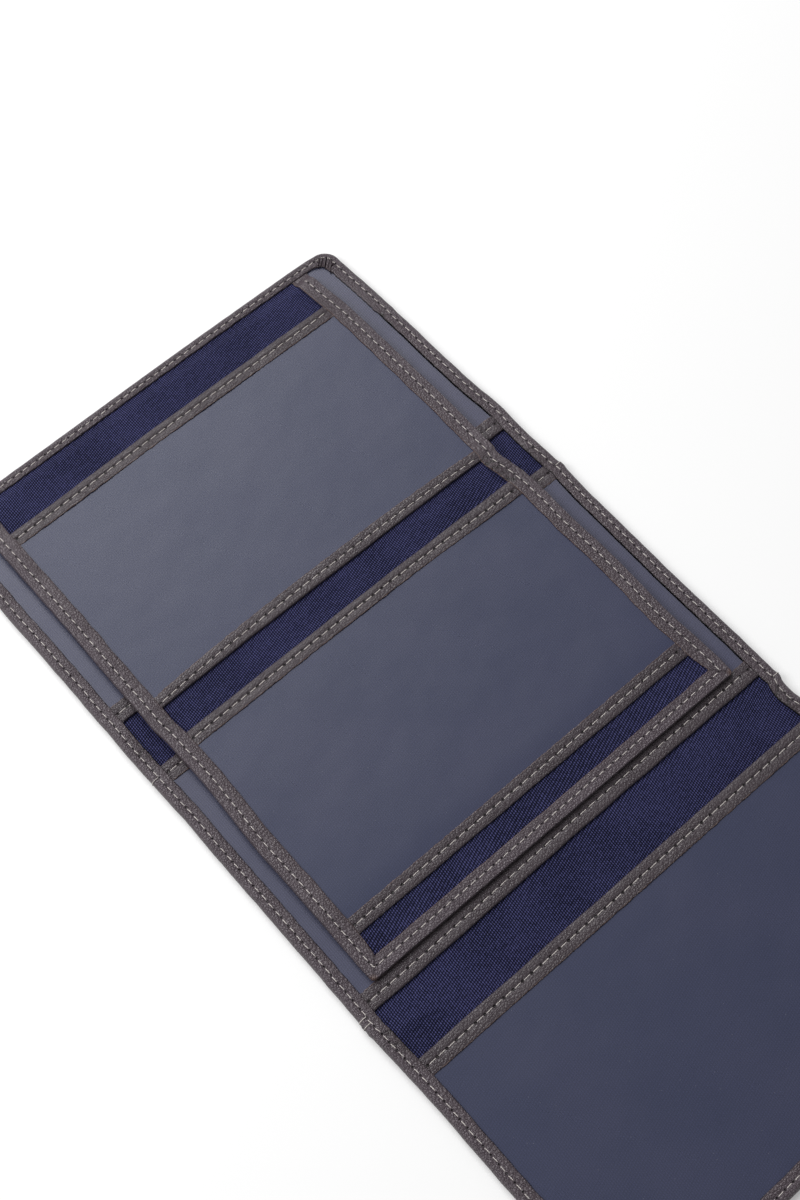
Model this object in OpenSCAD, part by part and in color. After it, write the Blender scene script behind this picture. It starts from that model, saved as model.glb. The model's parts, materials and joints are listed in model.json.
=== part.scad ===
// Trifold document wallet, open and flat, with a hinged inner leaf.
// X runs along the folds, +Y points to the far panel that carries the leaf, Z is up.
// The origin is the middle of the underside. All lengths are in millimetres.

/* [Cover] */
// Width of the open cover, along the folds
cover_w = 130; // [110:1:150]
// Length of the far panel, from its outer edge to the first fold gap
panel_a_len = 73.6; // [66:0.1:84]
// Width of the first fold gap, between the far and the middle panel
gap_1 = 14.8; // [14.2:0.1:18]
// Length of the middle panel
panel_b_len = 76.9; // [74:0.1:92]
// Width of the second fold gap, between the middle and the near panel
gap_2 = 14.4; // [10:0.1:18]
// Length of the near panel
panel_c_len = 73.6; // [64:0.1:76]
// Corner radius of the cover
corner_r = 4.5; // [2:0.1:8]
// Width of the turned leather edge along the sides
edge_w = 4.1; // [3:0.1:5.5]
// Width of the turned hem at the far end, over the root of the leaf
top_hem_w = 3.4; // [2.8:0.1:5]
// Width of the turned hem at the near end
bottom_hem_w = 4.1; // [3:0.1:6]

/* [Materials] */
// Thickness of the cover leather
leather_t = 0.8; // [0.6:0.05:1.2]
// Thickness of the stiffening board in each panel
board_t = 0.4; // [0.2:0.05:0.7]
// Thickness of the woven lining
lining_t = 0.25; // [0.15:0.05:0.5]
// Thickness of the clear window film
film_t = 0.2; // [0.1:0.05:0.4]
// Thickness of the turned and skived leather that lies over the film
turn_t = 0.5; // [0.3:0.05:0.8]
// Thickness of one wall of a folded binding strip
binding_t = 0.3; // [0.2:0.05:0.5]
// Thickness of the leaf's own backing leather
leaf_back_t = 0.5; // [0.3:0.05:0.8]
// Thickness of the sewn root of the leaf, under the far hem
root_t = 0.4; // [0.2:0.05:0.6]

/* [Windows] */
// Width of the binding strips at the mouths of the cover windows
strip_w = 4.9; // [3.5:0.1:6]
// Distance that the stiffening boards stay inside the turned edges
board_inset = 0.6; // [0.3:0.1:2]

/* [Leaf] */
// Distance from each side of the open cover to the side of the leaf
leaf_margin = 8.6; // [7:0.1:20]
// Width of the turned leather edge along the sides of the leaf
leaf_edge_w = 4.9; // [3.5:0.1:6]
// Width of the hem at the free end of the leaf
leaf_hem_w = 4.3; // [3:0.1:6]
// Width of the binding strips on the leaf
leaf_strip_w = 4.2; // [3:0.1:5.5]
// Bare lining between the far hem and the first strip of the leaf
leaf_head = 11.6; // [6:0.1:18]
// Length of the second leaf pocket, over both of its strips
leaf_pocket_2_len = 64; // [50:0.1:64.4]
// Bare lining between the second leaf pocket and the leaf's hem
leaf_foot = 5.3; // [3:0.1:8]
// Corner radius at the free end of the leaf
leaf_corner_r = 1; // [0.5:0.1:3]

/* [Folding] */
// Clearance between layers that lie on each other when the wallet is closed
layer_clear = 0.3; // [0.2:0.05:0.6]
// Clearance on each side of a fold line
fold_clear = 0.2; // [0.1:0.05:0.3]
// Distance that the leaf's fold stands inside the closed cover's fold
leaf_fold_inset = 0.3; // [0.2:0.05:0.6]

/* [Stitching] */
// Spacing of the stitches along the turned edges and hems
edge_pitch = 2.5; // [2:0.1:4]
// Length of one stitch along the turned edges and hems
edge_stitch = 1.6; // [1:0.1:1.9]
// Spacing of the stitches along the binding strips
strip_pitch = 2.8; // [2.4:0.1:4]
// Length of one stitch along the binding strips
strip_stitch = 2.1; // [1.4:0.1:2.3]
// Width of the sewing thread
thread_w = 0.35; // [0.2:0.05:0.6]
// Height of the sewing thread above the leather
thread_t = 0.12; // [0.08:0.02:0.3]

/* [Hidden] */
$fn = 48;

// Finishes
leather_colour = [0.36, 0.33, 0.31];
lining_colour = [0.13, 0.13, 0.33];
film_colour = [0.38, 0.40, 0.48];
board_colour = [0.55, 0.48, 0.38];
thread_colour = [0.75, 0.73, 0.71];

// Overrun that lets a cut or a trimming body pass its faces
overrun = leather_t;

// Places along the length, measured from the middle of the open cover
cover_len = panel_a_len + gap_1 + panel_b_len + gap_2 + panel_c_len;
far_y = cover_len / 2;
near_y = -cover_len / 2;
a_end_y = far_y - panel_a_len;
b_far_y = a_end_y - gap_1;
b_near_y = b_far_y - panel_b_len;
c_far_y = b_near_y - gap_2;

// Heights of the cover's layers; every cover fold turns about the face of the lining
board_z = leather_t;
lining_z = board_z + board_t;
fold_z = lining_z + lining_t;
film_z = fold_z + binding_t;
film_top = film_z + film_t;
strip_top = film_top + binding_t;
edge_top = film_top + turn_t;
hem_top = film_top + root_t + turn_t;

// Heights of the leaf's layers; every leaf fold turns about its underside
leaf_z = strip_top + thread_t + layer_clear;
leaf_lining_z = leaf_z + leaf_back_t;
leaf_lining_top = leaf_lining_z + lining_t;
leaf_film_z = leaf_lining_top + binding_t;
leaf_film_top = leaf_film_z + film_t;
leaf_strip_top = leaf_film_top + binding_t;
leaf_edge_top = leaf_film_top + turn_t;
leaf_top = leaf_edge_top + thread_t;

// The second fold closes first, with the lower half of the leaf under it
cover_top = edge_top + thread_t;
fold_2_spread = leaf_top + layer_clear + cover_top - 2 * fold_z;
closed_c_top = 2 * fold_z + fold_2_spread;

// The leaf turns back over the far hem about an axis midway between the two faces
leaf_turn_z = (leaf_top + hem_top + thread_t + fold_clear) / 2;
leaf_turn_y = far_y - top_hem_w - fold_clear;

// The first fold closes over all of it, also with the leaf turned back
closed_h = closed_c_top + fold_clear + 2 * leaf_turn_z - leaf_z;
fold_1_spread = closed_h - 2 * fold_z;
leaf_fold_spread = fold_1_spread - 2 * (leaf_z - fold_z);

// Fold lines
fold_1_near_y = b_far_y + fold_clear;
fold_1_far_y = fold_1_near_y + fold_1_spread;
fold_2_far_y = (b_near_y + c_far_y + fold_2_spread) / 2;
fold_2_near_y = (b_near_y + c_far_y - fold_2_spread) / 2;
leaf_fold_far_y = fold_1_far_y + leaf_fold_inset;
leaf_fold_near_y = leaf_fold_far_y - leaf_fold_spread;

// Places along the leaf
leaf_body_t = leaf_lining_top - leaf_z;
leaf_far_y = leaf_turn_y - fold_clear;
leaf_strip_1_y = far_y - top_hem_w - leaf_head;
leaf_strip_2_y = leaf_fold_far_y + leaf_body_t + fold_clear;
leaf_strip_3_y = leaf_fold_near_y - leaf_body_t - fold_clear;
leaf_strip_4_y = leaf_strip_3_y - leaf_pocket_2_len + leaf_strip_w;
leaf_hem_y = leaf_strip_4_y - leaf_strip_w - leaf_foot;
leaf_near_y = leaf_hem_y - leaf_hem_w;

// Width of the leaf, and widths between the turned edges
leaf_w = cover_w - 2 * leaf_margin;
inner_w = cover_w - 2 * edge_w;
leaf_inner_w = leaf_w - 2 * leaf_edge_w;
root_w = leaf_w - 2 * turn_t;
root_depth = top_hem_w - 2 * turn_t;
root_reach = 2 * turn_t;

// Layers, clipped to the rigid part between two fold lines

// Plate seen from above, with its corners rounded at either end
module plan(w, y_near, y_far, r_near, r_far) {
    difference() {
        translate([-w / 2, y_near]) square([w, y_far - y_near]);
        for (side = [-1, 1]) {
            if (r_far > 0) corner_cut(side * w / 2, y_far, r_far, side, 1);
            if (r_near > 0) corner_cut(side * w / 2, y_near, r_near, side, -1);
        }
    }
}

// What a rounded corner leaves out of a square one
module corner_cut(x, y, r, side, end) {
    difference() {
        translate([side > 0 ? x - r : x - overrun, end > 0 ? y - r : y - overrun])
            square([r + overrun, r + overrun]);
        translate([x - side * r, y - end * r]) circle(r);
    }
}

// Flat layer of the given plan
module layer(w, y_near, y_far, z, t, r_near = 0, r_far = 0) {
    translate([0, 0, z]) linear_extrude(t) plan(w, y_near, y_far, r_near, r_far);
}

// Space that a part may fill between its fold lines: upright below the fold's
// axis and mitred above it, so that two neighbours meet at a right angle
module mitred(y_near, y_far, axis_z, top, folds_near, folds_far) {
    rise = top - axis_z + fold_clear;
    near_edge = folds_near ? y_near + fold_clear : y_near - overrun;
    far_edge = folds_far ? y_far - fold_clear : y_far + overrun;
    near_rise = folds_near ? rise : 0;
    far_rise = folds_far ? rise : 0;
    intersection() {
        children();
        rotate([90, 0, 90]) linear_extrude(cover_w + 2 * overrun, center = true)
            polygon([
                [near_edge, -overrun], [far_edge, -overrun], [far_edge, axis_z],
                [far_edge - far_rise, axis_z + rise], [near_edge + near_rise, axis_z + rise],
                [near_edge, axis_z]]);
    }
}

module in_panel_a() {
    mitred(fold_1_far_y, far_y, fold_z, hem_top, true, false) children();
}
module in_spine_1() {
    mitred(fold_1_near_y, fold_1_far_y, fold_z, edge_top, true, true) children();
}
module in_panel_b() {
    mitred(fold_2_far_y, fold_1_near_y, fold_z, edge_top, true, true) children();
}
module in_spine_2() {
    mitred(fold_2_near_y, fold_2_far_y, fold_z, edge_top, true, true) children();
}
module in_panel_c() {
    mitred(near_y, fold_2_near_y, fold_z, edge_top, false, true) children();
}
module in_leaf_upper() {
    mitred(leaf_fold_far_y, leaf_far_y, leaf_z, leaf_edge_top, true, false) children();
}
module in_leaf_spine() {
    mitred(leaf_fold_near_y, leaf_fold_far_y, leaf_z, leaf_edge_top, true, true) children();
}
module in_leaf_lower() {
    mitred(leaf_near_y, leaf_fold_near_y, leaf_z, leaf_edge_top, false, true) children();
}

// Turned edges: a flap over the film and a wall round the layers' own edges
module side_edges(w, width, wall_t, y_near, y_far, base_z, flap_z, top) {
    for (side = [0, 1])
        mirror([side, 0, 0]) translate([w / 2, y_far, 0]) rotate([90, 0, 0])
            linear_extrude(y_far - y_near)
                polygon([
                    [-width, flap_z], [-width, top], [0, top], [0, base_z],
                    [-wall_t, base_z], [-wall_t, flap_z]]);
}

// Hem with its wall at the far end of a strip of the given depth
module hem(w, depth, wall_t, base_z, flap_z, top) {
    rotate([90, 0, 90]) linear_extrude(w, center = true)
        polygon([
            [-depth, flap_z], [-depth, top], [0, top], [0, base_z],
            [-wall_t, base_z], [-wall_t, flap_z]]);
}

// Binding strip folded round the mouth of a window: its far side lies at y_far,
// and the film enters its far or its near side
module binding(w, width, y_far, base_z, film_from_far) {
    thickness = 2 * binding_t + film_t;
    film_y = film_from_far ? -width + width / 2 : -width - overrun;
    translate([0, y_far, base_z]) difference() {
        translate([-w / 2, -width, 0]) cube([w, width, thickness]);
        translate([-w / 2 - overrun, film_y, binding_t])
            cube([w + 2 * overrun, width / 2 + overrun, film_t]);
    }
}

// Row of stitches along Y, centred between two places
module thread_along_y(x, y_near, y_far, z) {
    count = floor((y_far - y_near) / edge_pitch);
    start = (y_near + y_far - (count - 1) * edge_pitch - edge_stitch) / 2;
    for (i = [0 : 1 : count - 1])
        translate([x - thread_w / 2, start + i * edge_pitch, z])
            cube([thread_w, edge_stitch, thread_t]);
}

// Row of stitches along X, centred on the cover
module thread_along_x(w, y, z, pitch, stitch) {
    count = floor(w / pitch);
    start = -((count - 1) * pitch + stitch) / 2;
    for (i = [0 : 1 : count - 1])
        translate([start + i * pitch, y - thread_w / 2, z])
            cube([stitch, thread_w, thread_t]);
}

// Both side rows of the cover between two places
module cover_side_thread(y_near, y_far) {
    for (side = [-1, 1])
        thread_along_y(side * (cover_w - edge_w) / 2, y_near, y_far, edge_top);
}

// Both side rows of the leaf between two places
module leaf_side_thread(y_near, y_far) {
    for (side = [-1, 1])
        thread_along_y(side * (leaf_w - leaf_edge_w) / 2, y_near, y_far, leaf_edge_top);
}

module strip_thread(y_far, width, w, z) {
    thread_along_x(w, y_far - width / 2, z, strip_pitch, strip_stitch);
}

// Short thread that ties a strip's end down over the rim of the cover
module tie_threads(y) {
    for (side = [0, 1])
        mirror([side, 0, 0])
            translate([cover_w / 2 - edge_w / 2 + thread_w, y - thread_w / 2, edge_top])
                cube([edge_w / 2 - 2 * thread_w, thread_w, thread_t]);
}

// Distance that keeps a stitch clear of a mitred fold
cover_row_margin = cover_top - fold_z + 2 * fold_clear;
leaf_row_margin = leaf_top - leaf_z + 2 * fold_clear;

// Width of the layers that lie inside the turned walls
cover_layer_w = cover_w - 2 * leather_t;
leaf_layer_w = leaf_w - 2 * leaf_back_t;
layer_corner_r = corner_r - leather_t;
board_w = inner_w - 2 * board_inset;

// Cover leather, one hide that the folds divide into five

module leather_a() {
    color(leather_colour) in_panel_a()
        layer(cover_w, fold_1_far_y, far_y, 0, leather_t, r_far = corner_r);
}
module leather_spine_1() {
    color(leather_colour) in_spine_1()
        layer(cover_w, fold_1_near_y, fold_1_far_y, 0, leather_t);
}
module leather_b() {
    color(leather_colour) in_panel_b()
        layer(cover_w, fold_2_far_y, fold_1_near_y, 0, leather_t);
}
module leather_spine_2() {
    color(leather_colour) in_spine_2()
        layer(cover_w, fold_2_near_y, fold_2_far_y, 0, leather_t);
}
module leather_c() {
    color(leather_colour) in_panel_c()
        layer(cover_w, near_y, fold_2_near_y, 0, leather_t, r_near = corner_r);
}

// Stiffening boards between leather and lining

module board_a() {
    color(board_colour)
        layer(board_w, a_end_y, far_y - top_hem_w - board_inset, board_z, board_t);
}
module board_b() {
    color(board_colour) layer(board_w, b_near_y, b_far_y, board_z, board_t);
}
module board_c() {
    color(board_colour)
        layer(board_w, near_y + bottom_hem_w + board_inset, c_far_y, board_z, board_t);
}

// Woven lining

module lining_a() {
    color(lining_colour) in_panel_a()
        layer(cover_layer_w, fold_1_far_y, far_y - leather_t, lining_z, lining_t,
            r_far = layer_corner_r);
}
module lining_spine_1() {
    color(lining_colour) in_spine_1()
        layer(cover_layer_w, fold_1_near_y, fold_1_far_y, lining_z, lining_t);
}
module lining_b() {
    color(lining_colour) in_panel_b()
        layer(cover_layer_w, fold_2_far_y, fold_1_near_y, lining_z, lining_t);
}
module lining_spine_2() {
    color(lining_colour) in_spine_2()
        layer(cover_layer_w, fold_2_near_y, fold_2_far_y, lining_z, lining_t);
}
module lining_c() {
    color(lining_colour) in_panel_c()
        layer(cover_layer_w, near_y + leather_t, fold_2_near_y, lining_z, lining_t,
            r_near = layer_corner_r);
}

// Clear windows, held by the turned edges and bound at their mouths

module window_a() {
    color(film_colour)
        layer(cover_layer_w, a_end_y + strip_w / 2, far_y - leather_t, film_z, film_t,
            r_far = layer_corner_r);
}
module window_b() {
    color(film_colour)
        layer(cover_layer_w, b_near_y + strip_w / 2, b_far_y - strip_w / 2, film_z, film_t);
}
module window_c() {
    color(film_colour)
        layer(cover_layer_w, near_y + leather_t, c_far_y - strip_w / 2, film_z, film_t,
            r_near = layer_corner_r);
}

module strip_a() {
    color(leather_colour) binding(inner_w, strip_w, a_end_y + strip_w, fold_z, true);
}
module strip_b_far() {
    color(leather_colour) binding(inner_w, strip_w, b_far_y, fold_z, false);
}
module strip_b_near() {
    color(leather_colour) binding(inner_w, strip_w, b_near_y + strip_w, fold_z, true);
}
module strip_c() {
    color(leather_colour) binding(inner_w, strip_w, c_far_y, fold_z, false);
}

// Turned edges and hems of the cover

module side_edges_a() {
    color(leather_colour) in_panel_a() intersection() {
        side_edges(cover_w, edge_w, leather_t, fold_1_far_y, far_y - top_hem_w,
            board_z, film_top, edge_top);
        layer(cover_w, fold_1_far_y, far_y, board_z, edge_top, r_far = corner_r);
    }
}
module side_edges_spine_1() {
    color(leather_colour) in_spine_1()
        side_edges(cover_w, edge_w, leather_t, fold_1_near_y, fold_1_far_y,
            board_z, film_top, edge_top);
}
module side_edges_b() {
    color(leather_colour) in_panel_b()
        side_edges(cover_w, edge_w, leather_t, fold_2_far_y, fold_1_near_y,
            board_z, film_top, edge_top);
}
module side_edges_spine_2() {
    color(leather_colour) in_spine_2()
        side_edges(cover_w, edge_w, leather_t, fold_2_near_y, fold_2_far_y,
            board_z, film_top, edge_top);
}
module side_edges_c() {
    color(leather_colour) in_panel_c() intersection() {
        side_edges(cover_w, edge_w, leather_t, near_y + bottom_hem_w, fold_2_near_y,
            board_z, film_top, edge_top);
        layer(cover_w, near_y, fold_2_near_y, board_z, edge_top, r_near = corner_r);
    }
}

// Far hem, with the walls of its two corners and the slot for the leaf's root
module top_hem() {
    color(leather_colour) difference() {
        intersection() {
            union() {
                translate([0, far_y, 0])
                    hem(cover_w, top_hem_w, leather_t, board_z, film_top, hem_top);
                corner_walls(far_y - top_hem_w, top_hem_w);
            }
            layer(cover_w, far_y - top_hem_w, far_y, board_z, hem_top, r_far = corner_r);
        }
        translate([-root_w / 2, far_y - top_hem_w - overrun, film_top])
            cube([root_w, root_depth + overrun, root_t]);
    }
}

module bottom_hem() {
    color(leather_colour) intersection() {
        union() {
            translate([0, near_y, 0]) mirror([0, 1, 0])
                hem(cover_w, bottom_hem_w, leather_t, board_z, film_top, edge_top);
            corner_walls(near_y, bottom_hem_w);
        }
        layer(cover_w, near_y, near_y + bottom_hem_w, board_z, edge_top,
            r_near = corner_r);
    }
}

// Walls that carry a hem round its two corners, outside the lining
module corner_walls(y_near, depth) {
    difference() {
        layer(cover_w, y_near, y_near + depth, board_z, film_top - board_z);
        layer(cover_layer_w, near_y + leather_t, far_y - leather_t,
            board_z - overrun, film_top - board_z + 2 * overrun,
            r_near = layer_corner_r, r_far = layer_corner_r);
    }
}

// Root of the leaf, sewn between the far window and the far hem
module leaf_root() {
    color(leather_colour)
        translate([-root_w / 2, far_y - top_hem_w - root_reach, film_top])
            cube([root_w, root_depth + root_reach, root_t]);
}

// Inner leaf: upper half, folding middle and lower half

module leaf_back_upper() {
    color(leather_colour) in_leaf_upper()
        layer(leaf_w, leaf_fold_far_y, leaf_far_y, leaf_z, leaf_back_t);
}
module leaf_lining_upper() {
    color(lining_colour) in_leaf_upper()
        layer(leaf_layer_w, leaf_fold_far_y, leaf_far_y, leaf_lining_z, lining_t);
}
module leaf_window_upper() {
    color(film_colour)
        layer(leaf_layer_w, leaf_strip_2_y + leaf_strip_w / 2,
            leaf_strip_1_y - leaf_strip_w / 2, leaf_film_z, film_t);
}
module leaf_strip_1() {
    color(leather_colour)
        binding(leaf_inner_w, leaf_strip_w, leaf_strip_1_y, leaf_lining_top, false);
}
module leaf_strip_2() {
    color(leather_colour)
        binding(leaf_inner_w, leaf_strip_w, leaf_strip_2_y + leaf_strip_w,
            leaf_lining_top, true);
}
module leaf_edges_upper() {
    color(leather_colour) in_leaf_upper()
        side_edges(leaf_w, leaf_edge_w, leaf_back_t, leaf_fold_far_y, leaf_far_y,
            leaf_lining_z, leaf_film_top, leaf_edge_top);
}

module leaf_back_spine() {
    color(leather_colour) in_leaf_spine()
        layer(leaf_w, leaf_fold_near_y, leaf_fold_far_y, leaf_z, leaf_back_t);
}
module leaf_lining_spine() {
    color(lining_colour) in_leaf_spine()
        layer(leaf_layer_w, leaf_fold_near_y, leaf_fold_far_y, leaf_lining_z, lining_t);
}
module leaf_edges_spine() {
    color(leather_colour) in_leaf_spine()
        side_edges(leaf_w, leaf_edge_w, leaf_back_t, leaf_fold_near_y, leaf_fold_far_y,
            leaf_lining_z, leaf_film_top, leaf_edge_top);
}

module leaf_back_lower() {
    color(leather_colour) in_leaf_lower()
        layer(leaf_w, leaf_near_y, leaf_fold_near_y, leaf_z, leaf_back_t,
            r_near = leaf_corner_r);
}
module leaf_lining_lower() {
    color(lining_colour) in_leaf_lower()
        layer(leaf_layer_w, leaf_near_y + leaf_back_t, leaf_fold_near_y,
            leaf_lining_z, lining_t);
}
module leaf_window_lower() {
    color(film_colour)
        layer(leaf_layer_w, leaf_strip_4_y - leaf_strip_w / 2,
            leaf_strip_3_y - leaf_strip_w / 2, leaf_film_z, film_t);
}
module leaf_strip_3() {
    color(leather_colour)
        binding(leaf_inner_w, leaf_strip_w, leaf_strip_3_y, leaf_lining_top, false);
}
module leaf_strip_4() {
    color(leather_colour)
        binding(leaf_inner_w, leaf_strip_w, leaf_strip_4_y, leaf_lining_top, true);
}
module leaf_edges_lower() {
    color(leather_colour) in_leaf_lower()
        side_edges(leaf_w, leaf_edge_w, leaf_back_t, leaf_hem_y, leaf_fold_near_y,
            leaf_lining_z, leaf_film_top, leaf_edge_top);
}
module leaf_hem() {
    color(leather_colour) intersection() {
        union() {
            translate([0, leaf_near_y, 0]) mirror([0, 1, 0])
                hem(leaf_w, leaf_hem_w, leaf_back_t, leaf_lining_z, leaf_film_top,
                    leaf_edge_top);
            side_edges(leaf_w, leaf_edge_w, leaf_back_t, leaf_near_y, leaf_hem_y,
                leaf_lining_z, leaf_film_top, leaf_edge_top);
        }
        layer(leaf_w, leaf_near_y, leaf_hem_y, leaf_lining_z, leaf_edge_top,
            r_near = leaf_corner_r);
    }
}

// Sewing thread of each rigid part

module thread_a() {
    color(thread_colour) {
        cover_side_thread(fold_1_far_y + cover_row_margin, far_y - top_hem_w);
        thread_along_x(cover_w - 2 * corner_r, far_y - top_hem_w / 2, hem_top,
            edge_pitch, edge_stitch);
        strip_thread(a_end_y + strip_w, strip_w, inner_w, strip_top);
    }
}
module thread_spine_1() {
    color(thread_colour)
        cover_side_thread(fold_1_near_y + cover_row_margin, fold_1_far_y - cover_row_margin);
}
module thread_b() {
    color(thread_colour) {
        cover_side_thread(fold_2_far_y + cover_row_margin, fold_1_near_y - cover_row_margin);
        strip_thread(b_far_y, strip_w, inner_w, strip_top);
        strip_thread(b_near_y + strip_w, strip_w, inner_w, strip_top);
        tie_threads(b_far_y - strip_w / 2);
        tie_threads(b_near_y + strip_w / 2);
    }
}
module thread_spine_2() {
    color(thread_colour)
        for (side = [-1, 1])
            translate([
                side * (cover_w - edge_w) / 2 - thread_w / 2,
                (fold_2_far_y + fold_2_near_y - edge_stitch) / 2, edge_top])
                cube([thread_w, edge_stitch, thread_t]);
}
module thread_c() {
    color(thread_colour) {
        cover_side_thread(near_y + bottom_hem_w, fold_2_near_y - cover_row_margin);
        thread_along_x(cover_w - 2 * corner_r, near_y + bottom_hem_w / 2, edge_top,
            edge_pitch, edge_stitch);
        strip_thread(c_far_y, strip_w, inner_w, strip_top);
    }
}
module leaf_thread_upper() {
    color(thread_colour) {
        leaf_side_thread(leaf_fold_far_y + leaf_row_margin, leaf_far_y);
        strip_thread(leaf_strip_1_y, leaf_strip_w, leaf_inner_w, leaf_strip_top);
        strip_thread(leaf_strip_2_y + leaf_strip_w, leaf_strip_w, leaf_inner_w,
            leaf_strip_top);
    }
}
module leaf_thread_spine() {
    color(thread_colour)
        leaf_side_thread(leaf_fold_near_y + leaf_row_margin,
            leaf_fold_far_y - leaf_row_margin);
}
module leaf_thread_lower() {
    color(thread_colour) {
        leaf_side_thread(leaf_hem_y, leaf_fold_near_y - leaf_row_margin);
        thread_along_x(leaf_w - leaf_edge_w, leaf_near_y + leaf_hem_w / 2, leaf_edge_top,
            edge_pitch, edge_stitch);
        strip_thread(leaf_strip_3_y, leaf_strip_w, leaf_inner_w, leaf_strip_top);
        strip_thread(leaf_strip_4_y, leaf_strip_w, leaf_inner_w, leaf_strip_top);
    }
}

leather_a();
board_a();
lining_a();
window_a();
strip_a();
side_edges_a();
top_hem();
leaf_root();
thread_a();
leather_spine_1();
lining_spine_1();
side_edges_spine_1();
thread_spine_1();
leather_b();
board_b();
lining_b();
window_b();
strip_b_far();
strip_b_near();
side_edges_b();
thread_b();
leather_spine_2();
lining_spine_2();
side_edges_spine_2();
thread_spine_2();
leather_c();
board_c();
lining_c();
window_c();
strip_c();
side_edges_c();
bottom_hem();
thread_c();
leaf_back_upper();
leaf_lining_upper();
leaf_window_upper();
leaf_strip_1();
leaf_strip_2();
leaf_edges_upper();
leaf_thread_upper();
leaf_back_spine();
leaf_lining_spine();
leaf_edges_spine();
leaf_thread_spine();
leaf_back_lower();
leaf_lining_lower();
leaf_window_lower();
leaf_strip_3();
leaf_strip_4();
leaf_edges_lower();
leaf_hem();
leaf_thread_lower();
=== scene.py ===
"""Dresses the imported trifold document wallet: hide, lining, windows, inner leaf and sewing thread."""
import json
import logging
import math
from collections.abc import Callable
from dataclasses import dataclass, field
from enum import Enum

import bpy
import numpy as np
from mathutils import Matrix, Vector


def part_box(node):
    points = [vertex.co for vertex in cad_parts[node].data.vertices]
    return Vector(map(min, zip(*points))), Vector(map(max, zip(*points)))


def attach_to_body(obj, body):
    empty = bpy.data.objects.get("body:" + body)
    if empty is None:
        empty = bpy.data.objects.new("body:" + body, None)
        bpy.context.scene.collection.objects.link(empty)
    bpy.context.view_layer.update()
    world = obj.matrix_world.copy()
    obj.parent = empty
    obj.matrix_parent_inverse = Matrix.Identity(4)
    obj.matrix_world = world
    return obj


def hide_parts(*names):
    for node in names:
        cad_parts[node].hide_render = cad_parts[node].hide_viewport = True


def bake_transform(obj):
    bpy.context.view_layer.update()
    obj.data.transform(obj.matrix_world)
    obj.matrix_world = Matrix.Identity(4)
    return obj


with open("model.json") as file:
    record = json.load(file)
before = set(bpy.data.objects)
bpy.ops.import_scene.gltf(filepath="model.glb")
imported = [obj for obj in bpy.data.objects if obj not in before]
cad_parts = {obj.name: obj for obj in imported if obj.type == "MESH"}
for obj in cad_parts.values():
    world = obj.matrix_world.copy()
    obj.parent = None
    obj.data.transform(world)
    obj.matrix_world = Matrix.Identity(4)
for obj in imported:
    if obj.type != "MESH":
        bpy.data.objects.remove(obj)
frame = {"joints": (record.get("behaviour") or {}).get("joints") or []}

MM = 0.001
LOG = logging.getLogger("wallet")
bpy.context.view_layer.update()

# Sizes shared by the cover and the leaf, in mm.
TOUCH = 1e-6
FAR_FROM_SEAM = 50.0
STITCH_PITCH = 2.5
STITCH_LENGTH = 1.75
STRIP_PITCH = 2.8
STRIP_STITCH = 2.35
STRIP_OVERLAP = 0.8
BACK_OVERLAP = 1.2
BACK_LIFT = 0.012
LEAF_MAP_START = 900.0
BEYOND_HEM = 99.0

Colour = tuple[float, float, float, float]
Settle = Callable[[np.ndarray], np.ndarray]


class Body(Enum):
    """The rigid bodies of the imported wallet."""

    MIDDLE = "panel_b"
    FAR = "panel_a"
    NEAR = "panel_c"
    FAR_SPINE = "spine_1"
    NEAR_SPINE = "spine_2"
    LEAF_UPPER = "leaf_upper"
    LEAF_SPINE = "leaf_spine"
    LEAF_LOWER = "leaf_lower"


class Slot(Enum):
    """The record's material slots."""

    LEATHER = "leather"
    LINING = "lining"
    FILM = "window_film"
    BOARD = "board"
    THREAD = "thread"


class Kind(Enum):
    """Which part of an outline a station stands on."""

    SIDE = 0
    CORNER = 1
    END = 2


def ease(t: np.ndarray) -> np.ndarray:
    """Smooth step from 0 to 1, level at both ends."""
    t = np.clip(t, 0.0, 1.0)
    return t * t * (3.0 - 2.0 * t)


def swell(t: np.ndarray, centre: float, width: float) -> np.ndarray:
    """Bell curve of height 1 round a centre."""
    return np.exp(-(((t - centre) / width) ** 2))


def ripple(t: np.ndarray, wavelength: float, seed: int) -> np.ndarray:
    """Smooth repeatable wobble between about -1 and 1.

    Args:
        t: places along the wobble, in mm.
        wavelength: its usual wavelength, in mm.
        seed: chooses the wobble.

    Returns:
        The wobble at each place.
    """
    draw = np.random.default_rng(seed)
    total = np.zeros_like(t, dtype=float)
    for _ in range(5):
        stretch = draw.uniform(0.6, 1.7)
        phase = draw.uniform(0.0, 2.0 * math.pi)
        total += np.sin(2.0 * math.pi * t / (wavelength * stretch) + phase)
    return total / 2.6


def pleats(t: np.ndarray) -> np.ndarray:
    """Uneven narrow folds a whole number apart, about 1 at the bottom of each."""
    fold = (0.5 + 0.5 * np.cos(2.0 * math.pi * (t + 0.09 * np.sin(5.0 * t)))) ** 2.5
    return fold * (0.75 + 0.25 * np.sin(2.3 * t + 1.0))


def spread(stops: list[float], step: float) -> np.ndarray:
    """Places from the first stop to the last that hit every stop, about a step apart."""
    runs = []
    for a, b in zip(stops, stops[1:]):
        count = max(1, round(abs(b - a) / step))
        runs.append(np.linspace(a, b, count + 1)[:-1])
    return np.concatenate([*runs, [stops[-1]]])


def run_along(x: np.ndarray, y: np.ndarray) -> np.ndarray:
    """Length passed at each point of a flat line."""
    return np.concatenate([[0.0], np.cumsum(np.hypot(np.diff(x), np.diff(y)))])


def path_length(points: np.ndarray) -> np.ndarray:
    """Length passed at each point of a line in space."""
    steps = np.linalg.norm(np.diff(points, axis=0), axis=1)
    return np.concatenate([[0.0], np.cumsum(steps)])


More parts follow.
